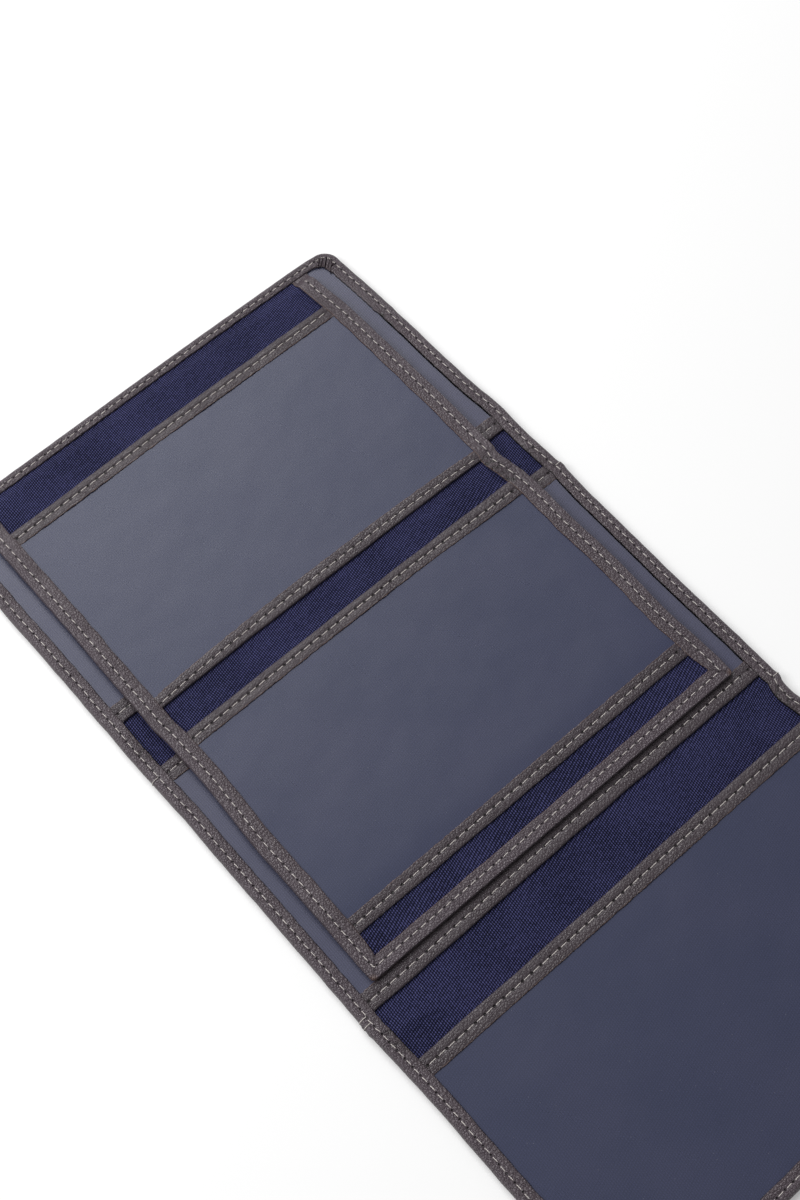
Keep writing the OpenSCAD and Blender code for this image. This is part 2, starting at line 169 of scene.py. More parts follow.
def smooth_curve(stops: np.ndarray, samples: int) -> np.ndarray:
    """Runs a smooth curve through the stops of each row."""
    count = stops.shape[1]
    at = np.linspace(0, count - 1, samples)
    i = np.minimum(at.astype(int), count - 2)
    t = at - i
    before, after = stops[:, np.maximum(i - 1, 0)], stops[:, np.minimum(i + 2, count - 1)]
    a, b = stops[:, i], stops[:, i + 1]
    return 0.5 * (2 * a + (b - before) * t + (2 * before - 5 * a + 4 * b - after) * t ** 2
                  + (3 * a - before - 3 * b + after) * t ** 3)


@dataclass(frozen=True)
class Extent:
    """Lowest and highest corner of a CAD node at rest, in mm."""

    low: tuple[float, float, float]
    high: tuple[float, float, float]

    @classmethod
    def of(cls, node: str) -> "Extent":
        """Reads the extent of a node from the frame."""
        low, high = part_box(node)
        return cls(tuple(v / MM for v in low), tuple(v / MM for v in high))


def joint_place(name: str) -> tuple[float, float]:
    """Y and Z of a hinge in the frame, in mm."""
    found = next(j for j in frame["joints"] if j["name"] == name)
    return found["pos_m"][1] / MM, found["pos_m"][2] / MM


@dataclass(frozen=True)
class WalletPlan:
    """Sizes and places of the wallet, in mm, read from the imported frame."""

    half_width: float
    far: float
    near: float
    lining_top: float
    film_top: float
    edge_top: float
    hem_top: float
    fold_1_near: float
    fold_1_far: float
    fold_2_far: float
    fold_2_near: float
    leaf_half_width: float
    leaf_near: float
    leaf_low: float
    leaf_lining_top: float
    leaf_edge_top: float
    leaf_fold_far: float
    leaf_fold_near: float
    leaf_turn: float
    edge_width: float = 4.1
    far_hem_width: float = 3.4
    leaf_edge_width: float = 4.9
    leaf_hem_width: float = 4.3
    corner: float = 4.5
    leaf_corner: float = 1.2
    strip_width: float = 4.9
    leaf_strip_width: float = 4.2

    @classmethod
    def from_frame(cls) -> "WalletPlan":
        """Reads the plan from the nodes' boxes and the hinges."""
        cover = Extent.of("leather_b")
        y1, z1 = joint_place("fold_1_spine")
        y2, _ = joint_place("fold_2_spine")
        axis_1, _ = joint_place("fold_1")
        axis_2, _ = joint_place("fold_2")
        leaf_y, leaf_z = joint_place("leaf_fold_spine")
        leaf_axis, _ = joint_place("leaf_fold")
        leaf = Extent.of("leaf_hem")
        return cls(
            half_width=cover.high[0],
            far=Extent.of("leather_a").high[1],
            near=Extent.of("leather_c").low[1],
            lining_top=z1,
            film_top=Extent.of("window_b").high[2],
            edge_top=Extent.of("side_edges_b").high[2],
            hem_top=Extent.of("top_hem").high[2],
            fold_1_near=y1,
            fold_1_far=2 * axis_1 - y1,
            fold_2_far=y2,
            fold_2_near=2 * axis_2 - y2,
            leaf_half_width=leaf.high[0],
            leaf_near=leaf.low[1],
            leaf_low=leaf_z,
            leaf_lining_top=Extent.of("leaf_lining_lower").high[2],
            leaf_edge_top=leaf.high[2],
            leaf_fold_far=leaf_y,
            leaf_fold_near=2 * leaf_axis - leaf_y,
            leaf_turn=joint_place("leaf_turn")[0],
        )


@dataclass
class Patch:
    """A grid of points, with the coordinates and marks that its finish reads.

    Attributes:
        points: rows by columns by 3, in mm.
        hide: places on the flat hide or cloth, in mm.
        seam: stitches along the seam, and mm away from it.
        raw: 1 where a cut edge shows, else 0.
        shade: painted shade, 1 in a tight crease or gap, else 0; on film, painted light, 1 where the
            film is painted paler.
        flip: turns the faces over.
        closed: joins the last column to the first.
    """

    points: np.ndarray
    hide: np.ndarray
    seam: np.ndarray | None = None
    raw: np.ndarray | None = None
    shade: np.ndarray | None = None
    flip: bool = False
    closed: bool = False
    normals: np.ndarray = field(init=False)

    def __post_init__(self) -> None:
        """Fills in what was left out and works out the normals of the whole grid."""
        rows, columns = self.points.shape[:2]
        if self.seam is None:
            self.seam = np.full((rows, columns, 2), FAR_FROM_SEAM)
        if self.raw is None:
            self.raw = np.zeros((rows, columns))
        if self.shade is None:
            self.shade = np.zeros((rows, columns))
        along = np.gradient(self.points, axis=0)
        if self.closed:
            around = np.roll(self.points, -1, axis=1) - np.roll(self.points, 1, axis=1)
        else:
            around = np.gradient(self.points, axis=1)
        normals = np.cross(around, along)
        length = np.linalg.norm(normals, axis=2, keepdims=True)
        usual = normals.sum(axis=0, keepdims=True)
        usual = usual / np.maximum(np.linalg.norm(usual, axis=2, keepdims=True), 1e-12)
        normals = np.where(length > 1e-9, normals / np.maximum(length, 1e-9), usual)
        self.normals = -normals if self.flip else normals

    def rows(self, chosen: np.ndarray) -> "Patch":
        """The patch on some of its rows only, with the whole patch's normals."""
        part = Patch(self.points[chosen], self.hide[chosen], self.seam[chosen],
                     self.raw[chosen], self.shade[chosen], self.flip, self.closed)
        part.normals = self.normals[chosen]
        return part


class Piece:
    """One mesh object of the wallet, made of patches."""

    def __init__(self, name: str, material: bpy.types.Material, slot: Slot) -> None:
        """Starts an empty piece."""
        self.name = name
        self.material = material
        self.slot = slot
        self.patches: list[Patch] = []

    def add(self, *patches: Patch) -> "Piece":
        """Adds patches and returns the piece."""
        self.patches.extend(patches)
        return self

    def _joined(self, name: str, width: int) -> np.ndarray:
        """One array of every patch, joined with a row for each point."""
        return np.concatenate([getattr(p, name).reshape(-1, width) for p in self.patches])

    def build(self) -> bpy.types.Object:
        """Makes the mesh object with its maps, marks and normals."""
        faces, base = [], 0
        for patch in self.patches:
            rows, columns = patch.points.shape[:2]
            index = base + np.arange(rows * columns).reshape(rows, columns)
            if patch.closed:
                index = np.concatenate([index, index[:, :1]], axis=1)
            a, b = index[:-1, :-1], index[:-1, 1:]
            c, d = index[1:, 1:], index[1:, :-1]
            order = (a, d, c, b) if patch.flip else (a, b, c, d)
            faces.append(np.stack(order, axis=-1).reshape(-1, 4))
            base += rows * columns
        quads = np.concatenate(faces)
        mesh = bpy.data.meshes.new(self.name)
        mesh.from_pydata(self._joined("points", 3) * MM, [], quads)
        for name in ("hide", "seam"):
            corners = self._joined(name, 2)[quads.ravel()]
            layer = mesh.uv_layers.new(name=name.title())
            layer.uv.foreach_set("vector", corners.astype(np.float32).ravel())
        for name in ("raw", "shade"):
            mark = mesh.attributes.new(name.title(), "FLOAT", "POINT")
            mark.data.foreach_set("value", self._joined(name, 1).astype(np.float32).ravel())
        mesh.shade_smooth()
        mesh.normals_split_custom_set_from_vertices(self._joined("normals", 3))
        mesh.materials.append(self.material)
        obj = bpy.data.objects.new(self.name, mesh)
        bpy.context.scene.collection.objects.link(obj)
        LOG.info("%s: %d faces", self.name, len(quads))
        return obj


@dataclass(frozen=True)
class Bend:
    """Where a piece bends from one body to the next, as Y in mm."""

    first: Body
    second: Body
    start: float
    end: float

    def apply(self, obj: bpy.types.Object) -> None:
        """Bakes the object's transform into its mesh; it is neither bent nor attached to a body."""
        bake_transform(obj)


def attach(obj: bpy.types.Object, holder: Bend | Body) -> None:
    """Lets an object ride with the body that holds it; for a bend, only bakes its transform."""
    if isinstance(holder, Bend):
        holder.apply(obj)
    else:
        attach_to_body(obj, holder.value)


@dataclass(frozen=True)
class Part:
    """A part of the cover or leaf between two cuts.

    Attributes:
        name: its name within the cover or leaf.
        high: its highest Y, in mm.
        low: its lowest Y, in mm.
        holder: the body that it rides with, or a bend, for which only its transform is baked.
        hide: nodes that its leather stands for.
        lining: nodes that its lining stands for.
        thread: nodes that its stitches stand for.
    """

    name: str
    high: float
    low: float
    holder: Bend | Body
    hide: tuple[str, ...]
    lining: tuple[str, ...]
    thread: tuple[str, ...]


@dataclass(frozen=True)
class Dent:
    """A smooth local shift along an edge, in mm.

    Attributes:
        place: where it is strongest.
        reach: how far it reaches to each side.
        amount: the shift there.
    """

    place: float
    reach: float
    amount: float

    @staticmethod
    def total(t: np.ndarray, *dents: "Dent") -> np.ndarray:
        """Sum of several dents at each place."""
        return sum(d.amount * swell(t, d.place, d.reach) for d in dents)


class Lie:
    """How the open wallet lies: its soft edges wander and its folds rise a little."""

    def __init__(self, plan: WalletPlan) -> None:
        """Keeps the plan and works out the middles of the folds."""
        self.plan = plan
        self.fold_1 = (plan.fold_1_near + plan.fold_1_far) / 2
        self.fold_2 = (plan.fold_2_near + plan.fold_2_far) / 2
        self.leaf_fold = (plan.leaf_fold_near + plan.leaf_fold_far) / 2
        self.cover_right = (
            Dent(122.0, 8.0, -0.45), Dent(58.0, 9.0, 0.6), Dent(45.0, 4.0, -0.12),
            Dent(33.5, 4.5, 0.40), Dent(self.fold_2, 5.0, -1.1), Dent(100.5, 1.6, 0.2),
            Dent(35.4, 1.1, 0.35), Dent(-41.3, 1.0, 0.45), Dent(41.0, 7.0, 0.28))
        self.cover_left = (
            Dent(45.0, 9.0, -0.2), Dent(24.0, 7.0, 0.2), Dent(-38.0, 9.0, -0.2),
            Dent(-39.7, 0.7, -0.2), Dent(-42.0, 0.7, -0.2))
        self.leaf_right = (
            Dent(120.0, 8.0, -0.95), Dent(53.0, 9.0, -0.45),
            Dent(self.leaf_fold + 1.4, 4.2, -1.1), Dent(31.0, 7.0, 0.3), Dent(11.0, 9.0, 0.25),
            Dent(-13.0, 8.0, -0.45), Dent(-27.0, 6.0, 0.2), Dent(41.0, 11.0, 0.28))
        self.leaf_left = (Dent(60.0, 14.0, -0.4), Dent(47.0, 4.0, -0.4))

    def cover(self, points: np.ndarray) -> np.ndarray:
        """Moves flat points of the cover to where they lie."""
        x, y, z = points[..., 0], points[..., 1], points[..., 2]
        right, left = ease((x - 20.0) / 44.0), ease((-x - 20.0) / 44.0)
        right_side = Dent.total(y, *self.cover_right) - 0.65 * ease((30.0 - y) / 45.0)
        left_side = -0.3 * ease((y + 58.0) / 15.0) + 0.15 * ease((-52.0 - y) / 15.0)
        left_side = left_side + Dent.total(y, *self.cover_left)
        wander = 0.06 * ripple(y, 22.0, 11) + 0.03 * ripple(y, 7.0, 12)
        dx = right * (right_side + wander) + left * (left_side - wander)
        hem = 0.9 * ease((x + 60.0) / 85.0) - 0.75 * swell(x, 66.0, 7.0)
        dy = hem * ease((y - 112.0) / 11.0)
        tilt = 0.9 * ease((x + 50.0) / 60.0) - 0.2
        dy = dy + tilt * swell(y, -36.2, 3.2)
        rise = 0.35 * swell(y, self.fold_1, 4.0) * ease((x - 10.0) / 55.0)
        rise = rise + 0.2 * swell(y, self.fold_2, 5.0) * ease((np.abs(x) - 20.0) / 45.0)
        return np.stack([x + dx, y + dy, z + rise], axis=-1)

    def leaf(self, points: np.ndarray) -> np.ndarray:
        """Moves flat points of the leaf to where they lie, thin and low under the hem."""
        p = self.plan
        x, y, z = points[..., 0], points[..., 1], points[..., 2]
        free = ease((p.leaf_turn + 0.3 - y) / 3.2)
        share = np.clip((x + 50.0) / 100.0, 0.0, 1.0)
        right = -0.75 + Dent.total(y, *self.leaf_right)
        left = -0.25 - 0.9 * ease((30.0 - y) / 26.0)
        left = left + Dent.total(y, *self.leaf_left)
        wander = 0.05 * ripple(y, 24.0, 13) + 0.03 * ripple(y, 6.0, 14)
        dx = right * share + left * (1.0 - share) + wander * np.sign(x)
        dy = (0.15 - 0.7 * ease(-x / 50.0)) * swell(y, 109.5, 7.0)
        dy = dy - 1.8 * np.abs(x / 52.0) ** 2.5 * swell(y, 52.5, 2.8)
        dy = dy + (0.15 - 1.0 * ease((x - 8.0) / 44.0) - 0.45 * (x / 52.0) ** 2) * swell(y, 37.5, 3.0)
        dy = dy + 0.15 * swell(y, -21.5, 4.0) - 0.72 * ease((-25.2 - y) / 3.6)
        foot = ease((-14.0 - y) / 14.0)
        z = z - foot * (0.34 * (z - p.leaf_low) + 0.16)
        dy = dy + 0.3 * swell(y, 44.0, 9.0) * ease((x - 5.0) / 55.0)
        rise = 0.25 * swell(y, self.leaf_fold, 4.5) * ease((x - 5.0) / 55.0)
        rise = rise + self.cover(np.stack([x, y, z], axis=-1))[..., 2] - z
        lifted = z + rise * (1.0 - swell(y, p.leaf_fold_near, 2.4))
        sewn = p.film_top + 0.04 + 0.19 * (z - p.leaf_low)
        return np.stack([x + dx, y + dy, sewn + (lifted - sewn) * free], axis=-1)


class Outline:
    """Stations round a rounded rectangle, counter-clockwise from its far left."""

    CORNER_STEPS = 84

    def __init__(self, half_width: float, near: float, far: float, corner: float,
                 inner: float, stops: list[float], step: float, far_end: bool) -> None:
        """Lays out the stations.

        Args:
            half_width: half the width between the sides, in mm.
            near: Y of the near end.
            far: Y of the far end.
            corner: radius of the corners.
            inner: least radius of a line inside the corners.
            stops: Y places, far to near, that get a station on both sides.
            step: distance between stations on straight runs.
            far_end: whether the far end and its corners belong to the outline.
        """
        self.half_width, self.near, self.far = half_width, near, far
        self.corner, self.inner, self.far_end = corner, inner, far_end
        top = far - corner if far_end else far
        down = spread([top, *stops, near + corner], step)
        across = spread([-half_width + corner, 0.0, half_width - corner], step)
        if far_end:
            down = self._thicken(down)
            across = self._thicken(across)
        turn = np.linspace(0.0, 1.0, self.CORNER_STEPS + 1)[1:-1] * math.pi / 2
        parts = [
            self._side(-1, down),
            self._arc(-1, -1, turn),
            self._end(across, -1),
            self._arc(1, -1, turn[::-1]),
            self._side(1, down[::-1]),
        ]
        if far_end:
            parts += [self._arc(1, 1, turn), self._end(across[::-1], 1),
                      self._arc(-1, 1, turn[::-1]), self._side(-1, down[:1])]
        stacked = [np.concatenate(column) for column in zip(*parts)]
        self.kind, self.side, self.end, self.x, self.y, self.turn = stacked

    @staticmethod
    def _thicken(places: np.ndarray, reach: float = 4.0, step: float = 0.12) -> np.ndarray:
        """Adds places near both ends of a run, for the pleats there."""
        away = np.minimum(np.abs(places - places[0]), np.abs(places - places[-1]))
        middle = places[away > reach]
        sign = np.sign(places[-1] - places[0])
        first = np.linspace(places[0], middle[0] - sign * step, round(reach / step))
        last = np.linspace(middle[-1] + sign * step, places[-1], round(reach / step))
        return np.concatenate([first, middle, last])

    def _side(self, side: int, y: np.ndarray) -> tuple[np.ndarray, ...]:
        """Stations along one side."""
        ones = np.ones_like(y)
        return (ones * Kind.SIDE.value, ones * side, ones * 0, ones * side * self.half_width,
                y, ones * 0)

    def _end(self, x: np.ndarray, end: int) -> tuple[np.ndarray, ...]:
        """Stations along one end."""
        ones = np.ones_like(x)
        y = ones * (self.far if end > 0 else self.near)
        return ones * Kind.END.value, ones * 0, ones * end, x, y, ones * 0

    def _arc(self, side: int, end: int, turn: np.ndarray) -> tuple[np.ndarray, ...]:
        """Stations round a corner; turn is the angle away from the side's direction."""
        ones = np.ones_like(turn)
        x = side * (self.half_width - self.corner + self.corner * np.cos(turn))
        edge = self.far if end > 0 else self.near
        y = edge + end * (self.corner * np.sin(turn) - self.corner)
        return ones * Kind.CORNER.value, ones * side, ones * end, x, y, turn

    def inset(self, depth: np.ndarray) -> tuple[np.ndarray, np.ndarray]:
        """Places at a depth inside the outline, rounded in the corners.

        Args:
            depth: stations by columns, in mm.

        Returns:
            X and Y, stations by columns.
        """
        kind, side, end = self.kind[:, None], self.side[:, None], self.end[:, None]
        turn, x, y = self.turn[:, None], self.x[:, None], self.y[:, None]
        edge = np.where(end > 0, self.far, self.near)
        left = np.maximum(self.corner - depth, self.inner)
        arc_x = side * (self.half_width - depth - left + left * np.cos(turn))
        arc_y = edge - end * (depth + left - left * np.sin(turn))
        limit = self.half_width - depth - left
        end_x = np.clip(x, -limit, limit)
        side_y = np.maximum(y, self.near + depth + left)
        if self.far_end:
            side_y = np.minimum(side_y, self.far - depth - left)
        px = np.where(kind == Kind.SIDE.value, x - side * depth,
                      np.where(kind == Kind.END.value, end_x, arc_x))
        py = np.where(kind == Kind.SIDE.value, side_y,
                      np.where(kind == Kind.END.value, y - end * depth, arc_y))
        return px, py


@dataclass(frozen=True)
class TurnedEdge:
    """Section of an edge that is turned over: depths inside the outline against heights.

    Attributes:
        low: height of the underside.
        inner_drop: how far the inner edge comes down below the top.
        roundness: how far the rim's rounding reaches inwards.
        stitch: depth of the stitch line inside the outline.
        groove: how deep the thread pulls the leather in.
        reach: how far the underside runs in under the layers.
        samples: number of columns.
    """

    ROUNDING = ((0.55, 0.07), (0.22, 0.22), (0.05, 0.40), (0.0, 0.58),
                (0.05, 0.74), (0.22, 0.88), (0.55, 0.97))

    low: float
    inner_drop: float
    roundness: float
    stitch: float
    groove: float
    reach: float
    samples: int = 40

    def section(self, width: np.ndarray, top: np.ndarray) -> tuple[np.ndarray, np.ndarray]:
        """Depth and height of each column at each station.

        Args:
            width: width of the turned edge at each station.
            top: height of its upper face at each station.

        Returns:
            Depths and heights, stations by columns.
        """
        width, top = width[:, None], top[:, None]
        tall = top - self.low
        r, line = self.roundness, self.stitch
        stops = [
            (width - 0.25, top - self.inner_drop),
            (width + 0.02, top - self.inner_drop + 0.02),
            (width + 0.05, top - 0.55 * self.inner_drop),
            (width - 0.04, top - 0.22 * self.inner_drop),
            (width - 0.22, top - 0.03),
            (width - 0.6, top),
            (0.5 * (width + line) + 0.1, top + 0.03),
            (line + 0.55, top - 0.01),
            (line + 0.25, top - 0.55 * self.groove),
            (line, top - self.groove),
            (line - 0.25, top - 0.55 * self.groove),
            (line - 0.55, top - 0.01),
            (r, top),
            *((share * r, top - drop * tall) for share, drop in self.ROUNDING),
            (1.1 * r, self.low),
            (0.5 * (1.1 * r + self.reach), self.low),
            (self.reach, self.low),
        ]
        depth, height = (np.concatenate([np.broadcast_to(v, top.shape) for v in column], axis=1)
                         for column in zip(*stops))
        return smooth_curve(depth, self.samples), smooth_curve(height, self.samples)


def thread_frame(at: np.ndarray, where: np.ndarray, path: np.ndarray,
                 normals: np.ndarray) -> tuple[np.ndarray, np.ndarray, np.ndarray]:
    """Centres, normals and sideways directions of a thread at places along a path.

    Args:
        at: places along the path.
        where: the same measure at the path's own points.
        path: the path's points, in mm.
        normals: the leather's normal at each of them.

    Returns:
        Centres, normals and sideways directions, a row for each place.
    """
    centre, up = (np.stack([np.interp(at, where, v[:, i]) for i in range(3)], axis=1)
                  for v in (path, normals))
    up /= np.linalg.norm(up, axis=1, keepdims=True)
    tangent = np.gradient(centre, axis=0)
    tangent /= np.maximum(np.linalg.norm(tangent, axis=1, keepdims=True), 1e-9)
    return centre, up, np.cross(up, tangent)


def thread_bar(centre: np.ndarray, up: np.ndarray, beside: np.ndarray, at: np.ndarray,
               size: tuple[float, float], taper: np.ndarray) -> Patch:
    """A thread as a rounded bar.

    Args:
        centre: its centres.
        up: its normals.
        beside: its sideways directions.
        at: length passed at each centre, for its map.
        size: its width, and the share of it that it stands high to each side.
        taper: share of its full size at each centre.

    Returns:
        The closed patch.
    """
    width, share = size
    turn = np.linspace(0.0, 2.0 * math.pi, 9)[:-1]
    across = beside[:, None] * (np.cos(turn)[None, :, None] * width / 2)
    over = up[:, None] * (np.sin(turn)[None, :, None] * width * share)
    points = centre[:, None] + (across + over) * taper[:, None, None]
    hide = np.stack(np.broadcast_arrays(at[:, None], turn[None] * width / 2), axis=-1)
    return Patch(points, hide, closed=True)


class StitchRow:
    """Lock stitches along a line: the light thread dips into a hole at each end."""

    def __init__(self, line: np.ndarray, up: np.ndarray, pitch: float, length: float,
                 width: float = 0.21, height: float = 0.11) -> None:
        """Keeps the line and the stitch.

        Args:
            line: points of the stitch line on the leather, in mm.
            up: the leather's normal at each point.
            pitch: distance between stitches.
            length: visible length of one stitch.
            width: width of the thread.
            height: how far the thread stands over the line.
        """
        self.line, self.up = line, up
        self.pitch, self.length, self.width, self.height = pitch, length, width, height
        self.at = path_length(line)

    @property
    def seam(self) -> np.ndarray:
        """Stitches passed at each point of the line; a stitch's middle is at a whole number."""
        return self.at / self.pitch

    def patches(self, low: float = -1e9, high: float = 1e9) -> list[Patch]:
        """One patch for each stitch whose middle lies between two Y places."""
        made = []
        for k in range(1, int(self.at[-1] / self.pitch)):
            middle = k * self.pitch
            y = float(np.interp(middle, self.at, self.line[:, 1]))
            if low <= y < high:
                made.append(self._stitch(k, middle))
        return made

    def _stitch(self, k: int, middle: float) -> Patch:
        """One stitch as a slim rounded bar that sinks at its ends."""
        draw = np.random.default_rng(1000 + k)
        length = self.length * draw.uniform(0.93, 1.05)
        t = np.linspace(-1.0, 1.0, 9)
        at = middle + t * length / 2
        centre, up, beside = thread_frame(at, self.at, self.line, self.up)
        sink = self.height * (1.0 - 1.9 * np.abs(t) ** 5)
        centre = centre + up * (sink - 0.35 * self.height)[:, None]
        centre += beside * (draw.uniform(-0.04, 0.04) + 0.05 * t)[:, None]
        taper = np.sqrt(np.clip(1.0 - np.abs(t) ** 6, 0.02, 1.0))
        return thread_bar(centre, up, beside, at, (self.width, 0.36), taper)


def sew_edge(edge: TurnedEdge, line: Outline, points: np.ndarray, depth: np.ndarray,
             height: np.ndarray, floor: float, face: float,
             start: float = 0.0) -> tuple[np.ndarray, np.ndarray, StitchRow]:
    """Maps a turned edge and lays its stitch row.

    Args:
        edge: the section of the edge.
        line: the outline that it follows.
        points: its points where they lie.
        depth: depth of each point inside the outline.
        height: height of each point while it was flat.
        floor: height under which a column belongs to the underside.
        face: height under which no needle holes show.
        start: where the map along the hide begins.

    Returns:
        The hide map, the seam map and the stitch row.
    """
    run = run_along(line.x, line.y) + start
    across = np.cumsum(np.hypot(*[np.diff(v, axis=1, prepend=v[:, :1])
                                  for v in (depth, height)]), axis=1)
    across = across - across[:, -1:]
    hide = np.stack([np.broadcast_to(run[:, None], depth.shape), across], axis=-1)
    column = int(np.argmin(np.abs(depth[0] - edge.stitch) + 10.0 * (height[0] < floor)))
    normals = Patch(points, hide).normals
    row = StitchRow(points[:, column], normals[:, column], STITCH_PITCH, STITCH_LENGTH)
    seam = np.stack([np.broadcast_to(row.seam[:, None], depth.shape),
                     depth - edge.stitch + 6.0 * (height < face)], axis=-1)
    return hide, seam, row


class TieThread:
    """A thread end drawn over the rim where a strip is tied off."""

    def __init__(self, rim: Patch, side: int, y: float, first: int, last: int) -> None:
        """Takes its path from the rim.

        Args:
            rim: the turned edge.
            side: 1 for the right side, -1 for the left.
            y: where it crosses the rim, in mm.
            first: column on the upper face where it comes out.
            last: column on the underside where it goes in.
        """
        reach = np.abs(rim.points[:, first, 1] - y) + 100.0 * (rim.points[:, first, 0] * side < 0)
        row = int(np.argmin(reach))
        self.path = rim.points[row, first:last]
        self.up = rim.normals[row, first:last]

    def patch(self, width: float = 0.18) -> Patch:
        """The thread as a thin tube along its path."""
        t = np.linspace(0.0, len(self.path) - 1.0, 40)
        index = np.arange(len(self.path))
        centre, up, beside = thread_frame(t, index, self.path, self.up)
        ends = np.minimum(t, t[-1] - t) / t[-1]
        centre = centre + up * (0.11 * ease(ends / 0.06) - 0.02)[:, None]
        return thread_bar(centre, up, beside, path_length(centre), (width, 0.4), np.ones_like(t))


class Graph:
    """Adds and links the nodes of one tree."""

    def __init__(self, tree: bpy.types.NodeTree) -> None:
        """Keeps the tree."""
        self.tree = tree

    def node(self, kind: str, inputs: dict | None = None, **settings: object) -> bpy.types.Node:
        """Adds a node, with its settings and the values or links of its inputs."""
        made = self.tree.nodes.new(kind)
        for key, value in settings.items():
            setattr(made, key, value)
        self.fill(made.inputs, inputs or {})
        return made

    def fill(self, sockets: bpy.types.bpy_prop_collection, values: dict) -> None:
        """Feeds several sockets, chosen by name or number."""
        for key, value in values.items():
            self.feed(sockets[key], value)

    def feed(self, socket: bpy.types.NodeSocket, value: object) -> None:
        """Links a socket to another, or sets its value."""
        if isinstance(value, bpy.types.NodeSocket):
            self.tree.links.new(value, socket)
        else:
            socket.default_value = value

    def math(self, operation: str, a: object, b: object = 0.0, c: object = 0.0,
             clamp: bool = False) -> bpy.types.NodeSocket:
        """One arithmetic step."""
        made = self.node("ShaderNodeMath", {0: a, 1: b, 2: c}, operation=operation,
                         use_clamp=clamp)
        return made.outputs[0]

    def between(self, value: object, low: float, high: float, to_low: float = 0.0,
                to_high: float = 1.0) -> bpy.types.NodeSocket:
        """Smoothly maps a range of values to another."""
        made = self.node("ShaderNodeMapRange", {
            "Value": value, "From Min": low, "From Max": high, "To Min": to_low,
            "To Max": to_high}, interpolation_type="SMOOTHSTEP", clamp=True)
        return made.outputs[0]

    def mix(self, share: object, a: object, b: object,
            how: str = "MIX") -> bpy.types.NodeSocket:
        """Mixes two colours."""
        made = self.node("ShaderNodeMix", data_type="RGBA", blend_type=how, clamp_factor=True)
        self.feed(made.inputs[0], share)
        self.feed(made.inputs[6], a)
        self.feed(made.inputs[7], b)
        return made.outputs[2]

    def noise(self, vector: object, scale: float, detail: float = 2.0,
              roughness: float = 0.5) -> bpy.types.NodeSocket:
        """Noise over a map."""
        made = self.node("ShaderNodeTexNoise", {
            "Vector": vector, "Scale": scale, "Detail": detail, "Roughness": roughness})
        return made.outputs[0]

    def vector(self, operation: str, a: object, b: object) -> bpy.types.NodeSocket:
        """One step with two vectors."""
        return self.node("ShaderNodeVectorMath", {0: a, 1: b}, operation=operation).outputs[0]

    def warp(self, vector: object, scale: float, amount: float) -> bpy.types.NodeSocket:
        """A map bent by slow noise."""
        bend = self.node("ShaderNodeTexNoise", {"Vector": vector, "Scale": scale, "Detail": 2.0})
        shift = self.vector("MULTIPLY", bend.outputs["Color"], (amount, amount, 0.0))
        return self.vector("ADD", vector, shift)

    def uv(self, name: str) -> bpy.types.NodeSocket:
        """One of the mesh's maps."""
        return self.node("ShaderNodeUVMap", uv_map=name).outputs[0]

    def mark(self, name: str) -> bpy.types.NodeSocket:
        """One of the mesh's marks."""
        return self.node("ShaderNodeAttribute", attribute_name=name).outputs["Fac"]

    def bump(self, height: object, strength: float, distance: float) -> bpy.types.NodeSocket:
        """Normals of a relief."""
        made = self.node("ShaderNodeBump", {"Strength": strength, "Distance": distance,
                                            "Height": height})
        return made.outputs[0]


class Effect:
    """A shader node group that several finishes share."""

    def __init__(self, name: str, inputs: dict[str, float | None], outputs: list[str]) -> None:
        """Makes the group with its sockets.

        Args:
            name: the group's name.
            inputs: name and usual value of each input; None is a vector.
            outputs: names of the number outputs.
        """
        self.tree = bpy.data.node_groups.new(name, "ShaderNodeTree")
        for key, value in inputs.items():
            kind = "NodeSocketVector" if value is None else "NodeSocketFloat"
            socket = self.tree.interface.new_socket(key, in_out="INPUT", socket_type=kind)
            if value is not None:
                socket.default_value = value
        for key in outputs:
            self.tree.interface.new_socket(key, in_out="OUTPUT", socket_type="NodeSocketFloat")
        self.graph = Graph(self.tree)
        self.start = self.graph.node("NodeGroupInput").outputs
        self.finish = self.graph.node("NodeGroupOutput").inputs

    def place(self, graph: Graph, **inputs: object) -> bpy.types.Node:
        """Places the group in a material with its own values."""
        made = graph.node("ShaderNodeGroup", node_tree=self.tree)
        for key, value in inputs.items():
            graph.feed(made.inputs[key.replace("_", " ")], value)
        return made


